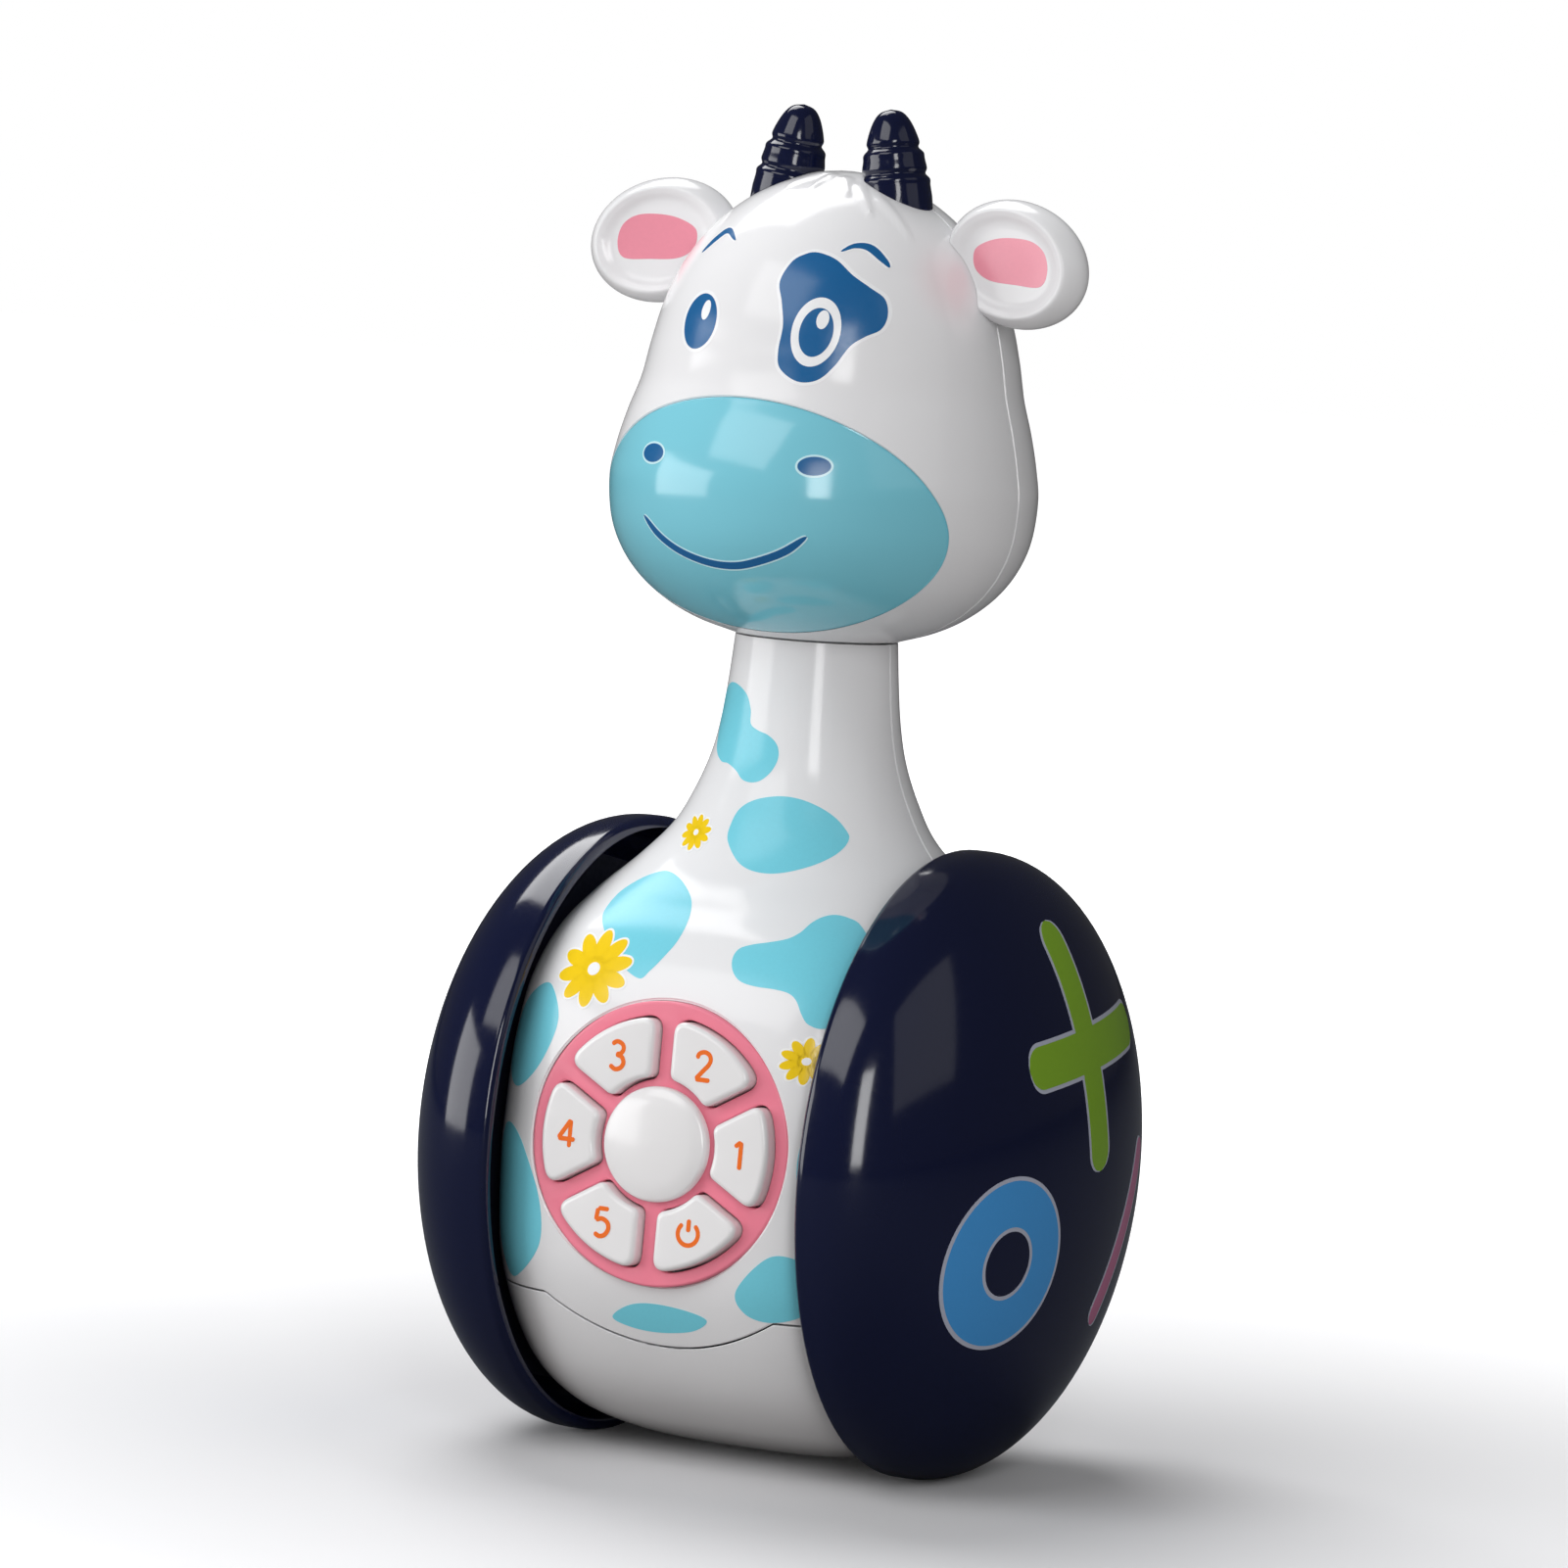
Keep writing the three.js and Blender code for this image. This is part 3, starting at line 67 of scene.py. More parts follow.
# Wheels
WHEEL_RADIUS = 50.0
TREAD_WIDTH = 2.0
DOME_DEPTH = 24.0
DOME_WALL = 2.2
PRINT_ROOM = 0.15  # for the prints, inside the dome's solid
CUP_REACH = 9.0
LIP_ROUND = 1.4
LIP_BEVEL = (0.25, 0.3)  # outwards and along, inside the lip
BUSH_RADIUS = 4.6

# Belly and neck
BELLY_HALF_WIDTH = 35.8
BELLY_DROP = 3.4
FLOOR_GAP = 1.0
BELLY_SQUARENESS = 4.0
NECK_RADIUS = 13.0
NECK_RISE = 81.2
SEAM_DROP = 22.4
WAVE_HALF_WIDTH = 20.0
WAVE_DEPTH = 6.4

# Button pad
PAD_RADIUS = 22.2
PAD_RISE = 3.6
PAD_SINK = 2.2
PAD_TILT = radians(3.5)
PAD_THICKNESS = 2.5
PAD_RIM = 2.5
PAD_EDGE = 0.5  # rounding of the pad's outer edge
BUTTON_COUNT = 6
BUTTON_SPOKE = 3.2
BUTTON_CORNER = 2.4
BUTTON_RISE = 2.2
BUTTON_ROUND = 0.95  # rounding of a button's upper edge
BUTTON_SINK = 3.4  # foot of a button behind the face of the pad
BUTTON_MOUTH = 0.35  # rounding of the pad round a button
CAP_RADIUS = 9.0
CAP_RISE = 3.2
CAP_MARGIN = 1.4
CAP_STEM_RADIUS = 3.0

# Battery door, loudspeaker and screws
DOOR_CORNER = 3.0
SPEAKER_RISE = 38.0
SPEAKER_TILT = radians(46)
SPEAKER_SINK = 4.6
GRILLE_HOLE_RADIUS = 1.4
GRILLE_PITCH = 5.6
GRILLE_RING = 6
SCREW_RADIUS = 1.3
SCREW_HEAD_RADIUS = 2.6
SCREW_HEAD = 1.8
SCREW_LENGTH = 12.0
RECESS_ARM = 1.612  # half length of a bar of the cross recess
RECESS_SLIT = 0.28  # its half width
RECESS_FLOOR = 0.72
BOSS_RADIUS = 3.6
BOSS_FLOOR = 3.0

# Head
HEAD_RADIUS = 33.7
HEAD_HEIGHT = 74.0
JAW_HEIGHT = 23.6
JAW_DEPTH = 24.9
JAW_SQUARENESS = 2.3
MUZZLE_SWELL = 4.0
MUZZLE_HALF_WIDTH = 29.7
MUZZLE_RISE = 19.0
MUZZLE_DROP = 17.7
MUZZLE_MIDDLE = 18.9
CROWN_SEAM = 1.5  # how far under the top the rounding of the head's seam ends
EAR_INSET = 2.5
EAR_Y = -1.2
EAR_DROP = 12.9
EAR_DROOP = radians(15)
EAR_TURN = radians(6)
EAR_HALF_LENGTH = 12.7
EAR_HALF_HEIGHT = 9.9
EAR_HALF_THICKNESS = 3.75
EAR_DISH = 1.15
HORN_X = 9.6
HORN_Y = -1.6
HORN_TIP_RISE = 10.2
HORN_RADIUS = 5.7
HORN_LENGTH = 14.0
HORN_ROOT = 5.0
HORN_LEAN = radians(8)
HORN_GROOVE = 0.45
HORN_GROOVE_SPREAD = 0.5175
HORN_SHOULDER = 0.14  # swelling under a groove

# Places that follow
AXLE_Z = WHEEL_RADIUS
BELLY_RADIUS = WHEEL_RADIUS - BELLY_DROP - FLOOR_GAP
BELLY_Z = AXLE_Z - BELLY_DROP
NECK_TOP = AXLE_Z + NECK_RISE
HEAD_FLOOR = NECK_TOP + GAP
HEAD_TOP = HEAD_FLOOR + HEAD_HEIGHT
CHEEKS = HEAD_FLOOR + JAW_HEIGHT
MUZZLE_Z = HEAD_FLOOR + MUZZLE_MIDDLE
SEAM_Z = AXLE_Z - SEAM_DROP
LIP_X = BELLY_HALF_WIDTH - CUP_REACH
TREAD_X = LIP_X + LIP_ROUND
DOME_X = TREAD_X + TREAD_WIDTH
SHOWN_DEPTH = DOME_DEPTH - PRINT_ROOM

# Fineness of the smooth meshes
RINGS = 170
SIDES = 192
INNER_RINGS = 60
INNER_SIDES = 72
TURN_SIDES = 128
CAP_SIDES = 96  # ears and centre cap
HORN_SIDES = 72
BORE_SIDES = 48
SCREW_SIDES = 40
GRILLE_SIDES = 32
TUBE_SIDES = 10
LOOP_STEPS = 160
DOOR_STEPS = 220
WAVE_STEPS = 240
MUZZLE_STEPS = 200
STATIONS = 900
TINIEST = 0.004  # share of a width that is left at a tip

# Light and paper; the paper's colours are sRGB
PAPER = (232, 232, 234)
PAPER_TONE = 0.985  # of its darker fibres
PAPER_IN_LIGHT = (165, 162, 160)  # as the toy sees it, so that less light comes back up
PAPER_IN_GLOSS = (84, 86, 90)  # and as it mirrors it
PAPER_GLOW = 1.0  # lift of the far paper towards white as the camera sees it
PAINTED_SHADOW_REACH = (0.07, 0.5)  # metres from the toy over which the lift grows; closer in, the paper stays darker as a painted shadow round the toy
FLOOR_REACH = 6000.0
SURROUND = 0.2  # light from all round
SURROUND_SEEN = 1.0  # as the camera sees it
SURROUND_IN_GLOSS = 0.05
LIGHTS_AIM = (0, 0, 0.11)
# Lamps: place in metres as the camera stands, width and height, watts
LIGHTS = {
    "key_box": ((-0.79, -0.71, 1.10), (0.95, 0.65), 5.2),
    "left_box": ((-1.22, -0.21, 0.29), (0.9, 0.65), 7.0),
    "front_strip": ((0.14, -1.35, 0.5), (0.3, 0.8), 5.8),
    "right_panel": ((1.0, -0.7, 0.9), (1.0, 1.0), 1.4),
    "top_box": ((-0.35, 0.7, 1.3), (0.9, 0.9), 12.5),
}

# Camera of the photograph: its place in millimetres, its turn, and the focal length in pixels
CAMERA_AZIMUTH = radians(26.436)
CAMERA_ELEVATION = radians(4.671)
CAMERA_ROLL = radians(3.779)
CAMERA_PLACE = (514.1, -1042.3, 202.5)
FOCAL_PIXELS = 7460.7
FRAME_PIXELS = 1601
SENSOR = 36.0


# Materials

# Unevenness of surfaces: scale per metre, detail and roughness of a noise
FLOW = (38, 3, 0.5)
RUBBING = (900, 4, 0.65)
PEEL = (420, 2, 0.5)
GRAIN = (5200, 3, 0.6)
MOTTLE = (1600, 3, 0.6)
SHEEN = (2600, 2, 0.5)
TOOTH = (3000, 2, 0.5)
FIBRE = (3, 3, 0.5)
RELIEF = 0.0001  # depth of a bump in metres

WHITE = (236, 236, 238)
WHITE_SHINE = 0.32  # the white shells mirror less than the dark wheels
BLUSH = (244, 188, 196)
BLUSH_SHARE = 0.26
BLUSH_REACH = 8.5
BLUSH_PLACES = [(-23.4, -9.7, 188.8), (23.4, -9.7, 188.8)]


def linear(colour, tone=1.0):
    """An sRGB colour of 0 to 255 as linear red, green, blue and alpha, made lighter or darker by a share."""
    value = np.array(colour) / 255
    value = np.where(value <= 0.04045, value / 12.92, ((value + 0.055) / 1.055) ** 2.4)
    return (*np.minimum(value * tone, 1.0), 1.0)


class Nodes:
    """The nodes of a material or of the world, with short calls that add and link them."""

    def __init__(self, owner, shader):
        owner.use_nodes = True
        self.tree = owner.node_tree
        self.shader = self.tree.nodes[shader]

    def feed(self, node, inputs):
        """Sets inputs by name or number, or links them to outputs."""
        for key, value in inputs.items():
            if isinstance(value, bpy.types.NodeSocket):
                self.tree.links.new(value, node.inputs[key])
            else:
                node.inputs[key].default_value = value

    def add(self, kind, output, inputs, **settings):
        node = self.tree.nodes.new(f"ShaderNode{kind}")
        for name, value in settings.items():
            setattr(node, name, value)
        self.feed(node, inputs)
        return node.outputs[output]

    def ray(self, kind):
        return self.add("LightPath", f"Is {kind} Ray", {})

    def mix(self, share, first, second, data_type="RGBA"):
        return self.add("Mix", "Result", {"Factor": share, "A": first, "B": second}, data_type=data_type)


class Surface(Nodes):
    """A new material."""

    def __init__(self, name):
        self.material = bpy.data.materials.new(name)
        super().__init__(self.material, "Principled BSDF")
        self.place = self.add("TexCoord", "Object", {})

    def noise(self, scale, detail, roughness):
        inputs = {"Vector": self.place, "Scale": scale, "Detail": detail, "Roughness": roughness}
        return self.add("TexNoise", "Fac", inputs)

    def spread(self, source, low, high, start=0.25, end=0.75, **settings):
        inputs = {"Value": source, "From Min": start, "From Max": end, "To Min": low, "To Max": high}
        return self.add("MapRange", "Result", inputs, **settings)


def finish(name, colour, tones, glosses, relief, fixed, sprayed=()):
    """A material whose tone and gloss follow a noise from low to high, and whose relief follows one
    with a strength and a depth. Places may be sprayed with blush."""
    surface = Surface(name)
    noise, dark, light = tones
    shade = surface.mix(surface.noise(*noise), linear(colour, dark), linear(colour, light))
    for point in sprayed:
        ends = {0: surface.place, 1: Vector(point) * MM}
        away = surface.add("VectorMath", "Value", ends, operation="DISTANCE")
        share = surface.spread(away, BLUSH_SHARE, 0, 0, BLUSH_REACH * MM, interpolation_type="SMOOTHSTEP")
        shade = surface.mix(share, shade, linear(BLUSH))
    noise, low, high = glosses
    gloss = surface.spread(surface.noise(*noise), low, high)
    noise, strength, depth = relief
    inputs = {"Height": surface.noise(*noise), "Strength": strength, "Distance": depth}
    normal = surface.add("Bump", "Normal", inputs)
    surface.feed(surface.shader, {"Base Color": shade, "Roughness": gloss, "Normal": normal, **fixed})
    return surface.material


def plastic(name, colour, gloss, tone=0.03, peel=0.05, grain=0.0, shine=0.5, sprayed=()):
    """Moulded plastic: a faint tone from flow in the mould, orange peel or grain, and fine rubbing."""
    relief = (GRAIN, grain, RELIEF) if grain else (PEEL, peel, RELIEF)
    return finish(name, colour, (FLOW, 1 - tone, 1 + tone), (RUBBING, 0.8 * gloss, 1.3 * gloss), relief,
                  {"IOR": 1.53, "Specular IOR Level": shine}, sprayed)


def ink(name, colour, shine=0.5):
    """Pad-printed ink: an even film with a little mottle where it lies thinner."""
    return finish(name, colour, (MOTTLE, 0.965, 1.03), (SHEEN, 0.15, 0.26), (TOOTH, 0.04, RELIEF / 2),
                  {"IOR": 1.5, "Specular IOR Level": shine})


def metal(name, colour, gloss, scale):
    """Plated or cast metal with a fine uneven surface."""
    noise = (scale, 6, 0.7)
    return finish(name, colour, (noise, 0.8, 1.15), (noise, gloss - 0.1, gloss + 0.15), (noise, 0.25, RELIEF),
                  {"Metallic": 1.0})


# Finishes with their colours as the photograph shows them in sRGB
white = plastic("white_abs", WHITE, 0.13, shine=WHITE_SHINE)
face_white = plastic("face_abs", WHITE, 0.13, shine=WHITE_SHINE, sprayed=BLUSH_PLACES)
navy = plastic("navy_abs", (17, 22, 50), 0.11, tone=0.08, peel=0.03)
muzzle_blue = plastic("muzzle_abs", (128, 205, 222), 0.12)
pink = plastic("pink_abs", (243, 131, 153), 0.36, grain=0.12)
button_white = plastic("button_abs", (238, 237, 238), 0.16, tone=0.012, peel=0.02)
inner = plastic("inner_plastic", (188, 192, 194), 0.55, grain=0.3)
hub_dark = plastic("hub_plastic", (26, 30, 48), 0.5, grain=0.3)
rubber = plastic("mat_silicone", (184, 187, 190), 0.62, grain=0.4)
board_green = plastic("solder_mask", (44, 104, 68), 0.4, tone=0.15)
cone_black = plastic("speaker_cone", (32, 32, 35), 0.7, grain=0.6)
sleeve = plastic("cell_sleeve", (74, 84, 94), 0.35, tone=0.1)
steel = metal("plated_steel", (178, 180, 184), 0.32, 1400)
casting = metal("rough_casting", (72, 74, 78), 0.6, 700)
spot_ink = ink("spot_ink", (122, 212, 230), WHITE_SHINE)
blue_ink = ink("blue_ink", (30, 98, 154))
pale_ink = ink("pale_ink", (206, 240, 247))
white_ink = ink("white_ink", (246, 247, 249))
pink_ink = ink("ear_ink", (240, 150, 168))
yellow_ink = ink("yellow_ink", (247, 208, 26))
orange_ink = ink("orange_ink", (245, 116, 40))
green_ink = ink("green_ink", (126, 168, 42))
decal_blue_ink = ink("decal_blue_ink", (66, 148, 214))
decal_pink_ink = ink("decal_pink_ink", (190, 106, 146))
decal_grey_ink = ink("decal_grey_ink", (176, 180, 196))


# Lines, outlines and places

SQUARE = np.array([(1, 1), (-1, 1), (-1, -1), (1, -1)])


def columns(*parts):
    """Points from their coordinates, of which some may be the same for all."""
    return np.stack(np.broadcast_arrays(*parts), -1)


def around(count):
    """Cosines and sines of angles spread evenly round a circle."""
    angles = np.arange(count) * 2 * pi / count
    return np.cos(angles), np.sin(angles)


def arc(count, start=0, end=90):
    """Pairs of cosine and sine at angles in degrees."""
    angles = np.radians(np.linspace(start, end, count))
    return columns(np.cos(angles), np.sin(angles))


def ellipse(x, z, half_x, half_z, lean=0, count=64):
    cos, sin = around(count)
    (right, up), = arc(1, lean)
    across, rise = half_x * cos, half_z * sin
    return columns(x + across * right - rise * up, z + across * up + rise * right)


def spline(rows, count, closed=False):
    """Points on a smooth curve through rows of numbers."""
    rows = np.asarray(rows, float)
    if closed:
        held = np.concatenate([rows[-1:], rows, rows[:2]])
        spans = len(rows)
        at = np.arange(count) * spans / count
    else:
        held = np.concatenate([[2 * rows[0] - rows[1]], rows, [2 * rows[-1] - rows[-2]]])
        spans = len(rows) - 1
        at = np.linspace(0, spans, count)
    i = np.minimum(at.astype(int), spans - 1)
    t = (at - i)[:, None]
    a, b, c, d = held[i], held[i + 1], held[i + 2], held[i + 3]
    return b + 0.5 * t * (c - a + t * (2 * a - 5 * b + 4 * c - d + t * (3 * b - a - 3 * c + d)))


def unit(rows):
    return rows / np.linalg.norm(rows, axis=1, keepdims=True)


def heading(line, closed):
    """The direction of a line at each of its points."""
    ahead = np.roll(line, -1, 0) - np.roll(line, 1, 0)
    if not closed:
        ahead[0], ahead[-1] = line[1] - line[0], line[-1] - line[-2]
    return unit(ahead)


def run_along(line):
    """The length of a line up to each of its points."""
    return np.append(0, np.cumsum(np.linalg.norm(np.diff(line, axis=0), axis=1)))


def turn_sense(outline):
    """1 for an outline that runs counter-clockwise and -1 for the other way."""
    ahead = np.roll(outline, -1, 0)
    return np.sign(np.sum(outline[:, 0] * ahead[:, 1] - outline[:, 1] * ahead[:, 0]))


def grown(outline, by):
    """A closed outline moved outwards all round."""
    return outline + turn_sense(outline) * by * heading(outline, True)[:, ::-1] * (1, -1)


def placed(place, *turns):
    """A shift after turns of an angle about an axis, of which the last comes first."""
    matrix = Matrix.Translation(place)
    for angle, axis in turns:
        matrix = matrix @ Matrix.Rotation(angle, 4, axis)
    return matrix


def moved(points, matrix):
    grid = np.array(matrix)
    return points @ grid[:3, :3].T + grid[:3, 3]


def node_box(node):
    """A node's lowest and highest corner in millimetres."""
    return np.array(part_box(node)) / MM


# Meshes

def add_object(name, data):
    made = bpy.data.objects.new(name, data)
    bpy.context.scene.collection.objects.link(made)
    return made


def make(name, points, faces):
    """An object from points in millimetres."""
    mesh = bpy.data.meshes.new(name)
    mesh.from_pydata((np.asarray(points) * MM).tolist(), [], faces)
    mesh.update()
    return add_object(name, mesh)


def drop(made):
    mesh = made.data
    bpy.data.objects.remove(made)
    bpy.data.meshes.remove(mesh)


def combine(made, other, operation):
    """Joins, cuts or intersects a mesh with another, which is used up."""
    modifier = made.modifiers.new("solid", "BOOLEAN")
    modifier.operation = operation
    modifier.solver = "MANIFOLD"
    modifier.object = other
    bpy.context.view_layer.update()
    graph = bpy.context.evaluated_depsgraph_get()
    result = bpy.data.meshes.new_from_object(made.evaluated_get(graph))
    made.modifiers.clear()
    old, made.data = made.data, result
    bpy.data.meshes.remove(old)
    drop(other)
    return made


def joined(made, other):
    return combine(made, other, "UNION")


def within(made, other):
    return combine(made, other, "INTERSECT")


def cut(made, *cutters):
    for cutter in cutters:
        combine(made, cutter, "DIFFERENCE")
    return made


def part_of(shell, name, keeper):
    """A copy of a shell, kept only inside another mesh."""
    return within(add_object(name, shell.data.copy()), keeper)


def weld(made):
    """Joins points that a cut left all but on each other, and drops the slivers and folds between them."""
    work = bmesh.new()
    work.from_mesh(made.data)
    bmesh.ops.triangulate(work, faces=[face for face in work.faces if len(face.verts) > 4])
    bmesh.ops.remove_doubles(work, verts=work.verts, dist=WELD * MM)
    bmesh.ops.dissolve_degenerate(work, edges=work.edges, dist=WELD * MM)
    work.verts.index_update()
    alike = {}
    for face in work.faces:
        alike.setdefault(frozenset(corner.index for corner in face.verts), []).append(face)
    folded = [face for faces in alike.values() if len(faces) > 1 for face in faces]
    bmesh.ops.delete(work, geom=folded, context="FACES")
    work.to_mesh(made.data)
    work.free()
    made.data.update()


def paint(mesh, material):
    mesh.materials.clear()
    mesh.materials.append(material)


def finish_piece(made, material, replaced=None, body="body", sharp=35):
    """Smooth shading, a finish, and the body that the piece rides on."""
    weld(made)
    made.data.shade_smooth()
    made.data.set_sharp_from_angle(angle=radians(sharp))
    paint(made.data, material)
    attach(made, body)
    if replaced:
        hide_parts(replaced)


def grid_faces(rows, sides, rows_close=False, sides_close=True):
    """Faces between rows of points, which may close on themselves both ways."""
    grid = np.arange(rows * sides).reshape(rows, sides)
    if rows_close:
        grid = np.append(grid, grid[:1], axis=0)
    if sides_close:
        grid = np.append(grid, grid[:, :1], axis=1)
    corners = grid[:-1, :-1], grid[:-1, 1:], grid[1:, 1:], grid[1:, :-1]
    return np.stack(corners, -1).reshape(-1, 4).tolist()


def fan(ring, tip):
    """Triangles from a closed ring of points to a tip."""
    return [[i, j, tip] for i, j in zip(ring, [*ring[1:], ring[0]])]


def loft(name, rings, closed=False):
    """A solid through rings of points, with end caps unless they close on themselves."""
    points = np.concatenate(rings)
    total, sides = len(points), len(rings[0])
    faces = grid_faces(len(rings), sides, closed)
    if not closed:
        faces += [range(sides)[::-1], range(total - sides, total)]
    return make(name, points, faces)


def stacked(name, layers, matrix):
    """A solid through outlines of x, y at heights."""
    return loft(name, [moved(columns(*outline.T, z), matrix) for outline, z in layers])


def prism_y(outline, low, high):
    """An outline in X and Z, counter-clockwise seen from the front, along Y."""
    x, z = outline.T
    return loft("prism", [columns(x, y, z) for y in (high, low)])


def slab(low, high):
    """All that lies between two places along Y."""
    return prism_y(FAR * SQUARE, low, high)


def turned(name, profile, sides, matrix):
    """A solid turned about local Z from a profile of radius and height, drawn outside upwards.
    Its first and last points are taken to be on the axis."""
    cos, sin = around(sides)
    rings = [columns(r * cos, r * sin, z) for r, z in profile[1:-1]]
    ends = [(0, 0, profile[0][1]), (0, 0, profile[-1][1])]
    total = len(rings) * sides
    faces = grid_faces(len(rings), sides)
    faces += fan(range(sides)[::-1], total) + fan(range(total - sides, total), total + 1)
    return make(name, moved(np.concatenate(rings + [ends]), matrix), faces)


def rod(radius, low, high, matrix, sides=BORE_SIDES):
    return turned("rod", [(0, low), (radius, low), (radius, high), (0, high)], sides, matrix)


def tube(path, closed):
    """A round bar along a path of points, which rounds the edges on both sides of a seam."""
    ahead = heading(path, closed)
    up = np.cross(ahead[0], (0.3, 0.5, 0.8))  # along no seam
    ups = []
    for along in ahead:
        up = up - along * (up @ along)
        up /= np.linalg.norm(up)
        ups.append(up)
    lag = 0
    if closed:
        # The frame comes back turned after a lap, so each ring is turned on towards the first.
        end = up - ahead[0] * (up @ ahead[0])
        lag = np.arctan2(ups[0] @ np.cross(ahead[0], end), ups[0] @ end)
    steps = np.arange(len(path))[:, None] * lag / len(path)
    angles = (steps + np.arange(TUBE_SIDES) * 2 * pi / TUBE_SIDES)[..., None]
    ups = np.array(ups)[:, None]
    arms = np.cos(angles) * ups + np.sin(angles) * np.cross(ahead[:, None], ups)
    return loft("tube", path[:, None] + SEAM_ROUND * arms, closed)


# Lofted forms of the body and of the head

class Form:
    """A loft through rows of height, half width, front depth, back depth and squareness."""

    def __init__(self, rows):
        self.rows = rows
        self.fine = spline(rows, STATIONS)

    def at(self, z):
        return [np.interp(z, self.fine[:, 0], self.fine[:, k]) for k in range(1, 5)]

    def depth(self, x, z, back=False):
        """How far the surface stands out from the middle plane at x, z."""
        half, front, behind, power = self.at(z)
        reach = behind if back else front
        return reach * np.maximum(1 - np.abs(x / half) ** power, 0) ** (1 / power)

    def surface(self, flat, back=False):
        """Points and outward normals at pairs of x, z on the front or on the back."""
        x, z = flat.T
        step = 0.04
        sign = 1 if back else -1
        fall_x = self.depth(x - step, z, back) - self.depth(x + step, z, back)
        fall_z = self.depth(x, z - step, back) - self.depth(x, z + step, back)
        points = columns(x, sign * self.depth(x, z, back), z)
        return points, unit(columns(fall_x, 2 * step * sign, fall_z))

    def mesh(self, rings=RINGS, sides=SIDES, relief=None):
        cos, sin = around(sides)
        points = []
        for z, half, front, behind, power in spline(self.rows, rings):
            deep = np.where(sin < 0, front, behind)
            radius = (np.abs(cos / half) ** power + np.abs(sin / deep) ** power) ** (-1 / power)
            points.append(columns(radius * cos, radius * sin, z))
        if relief:
            points = [relief(ring) for ring in points]
        return loft("form", points)

    def core(self):
        """A coarser mesh for what isn't seen."""
        return self.mesh(INNER_RINGS, INNER_SIDES)


# Angle under the belly's middle, and squareness there
BOWL = [(-86, 2.4), (-76, 2.8), (-60, 3.3), (-42, 3.7), (-20, BELLY_SQUARENESS), (0, BELLY_SQUARENESS)]
# Share of the way up to the neck's top, of the belly's width and depth beyond the neck's, and squareness
SHOULDER = [
    (0.115, 0.995, 0.985, 4), (0.23, 0.978, 0.945, 4), (0.345, 0.947, 0.855, 3.8), (0.44, 0.868, 0.69, 3.4),
    (0.51, 0.737, 0.49, 2.8), (0.57, 0.553, 0.325, 2.3), (0.635, 0.355, 0.215, 2), (0.705, 0.21, 0.14, 2),
    (0.775, 0.112, 0.076, 2), (0.845, 0.057, 0.04, 2), (0.922, 0.024, 0.017, 2), (1, 0, 0, 2),
]
JAW_ANGLES = (70, 59, 48, 36, 24, 12, 0)
# Share of the way from the cheeks to the top, share of the head's radius, and of the muzzle's swell
CROWN = [
    (0.1, 0.982, 0.9), (0.209, 0.947, 0.6), (0.318, 0.902, 0.2), (0.437, 0.868, 0.03),
    (0.557, 0.822, 0), (0.676, 0.748, 0), (0.785, 0.638, 0), (0.875, 0.499, 0),
    (0.946, 0.332, 0), (0.988, 0.166, 0), (1, 0.03, 0),
]


def body_form(inset, open_top=False):
    radius, width, neck = BELLY_RADIUS - inset, BELLY_HALF_WIDTH - inset, NECK_RADIUS - inset
    rows = []
    for degrees, power in BOWL:
        rise, deep = np.sin(radians(degrees)), radius * np.cos(radians(degrees))
        half = width * (1 - abs(rise) ** BELLY_SQUARENESS) ** (1 / BELLY_SQUARENESS)
        rows.append((BELLY_Z + radius * rise, half, deep, deep, power))
    for rise, wide, deep, power in SHOULDER:
        half, depth = neck + (width - neck) * wide, neck + (radius - neck) * deep
        rows.append((BELLY_Z + (NECK_TOP - BELLY_Z) * rise, half, depth, depth, power))
    if open_top:
        rows.append((rows[-1][0] + WALL, *rows[-1][1:]))
    return Form(rows)


def head_form(inset):
    radius = HEAD_RADIUS - inset

    def row(z, share, swell):
        return z, radius * share, radius * share + MUZZLE_SWELL * swell, radius * share, 2

    rows = []
    for degrees in JAW_ANGLES:
        angle = radians(degrees)
        fall = (JAW_DEPTH - inset) * np.sin(angle) ** (2 / JAW_SQUARENESS)
        rows.append(row(CHEEKS - fall, np.cos(angle) ** (2 / JAW_SQUARENESS), np.cos(angle) ** 2))
    for rise, share, swell in CROWN:
        rows.append(row(CHEEKS + (HEAD_HEIGHT - JAW_HEIGHT - inset) * rise, share, swell))
    return Form(rows)


BODY = body_form(0)
HEAD = head_form(0)


# Parting lines

def seam_height(x):
    """Height of the wavy seam between the body halves and the base."""
    return SEAM_Z - WAVE_DEPTH * np.maximum(1 - (x / WAVE_HALF_WIDTH) ** 2, 0)


def below_seam(shift):
    """All that lies under the wavy seam, which is moved up by a shift."""
    x = np.linspace(WAVE_HALF_WIDTH, -WAVE_HALF_WIDTH, 61)
    wave = columns(x, seam_height(x) + shift)
    corners = [(-FAR, SEAM_Z + shift), (-FAR, -FAR), (FAR, -FAR), (FAR, SEAM_Z + shift)]
    return prism_y(np.concatenate([wave, corners]), -FAR, FAR)


def wavy_seam():
    """Rounding along the wavy seam, right round the body."""
    cos, sin = around(WAVE_STEPS)
    z = np.full(WAVE_STEPS, SEAM_Z - WAVE_DEPTH / 2)
    for _ in range(5):  # the height follows from x and x from the height, which soon settle
        half, _, _, power = BODY.at(z)
        x = half * np.sign(cos) * np.abs(cos) ** (2 / power)
        z = seam_height(x)
    return tube(columns(x, np.sign(sin) * BODY.depth(x, z), z), True)


def side_seam(form, low, high):
    """Rounding along the seam between the front and the back of a form, on both sides."""
    z = np.linspace(low, high, LOOP_STEPS)
    half = form.at(z)[0]
    return [tube(columns(side * half, 0, z), False) for side in (-1, 1)]


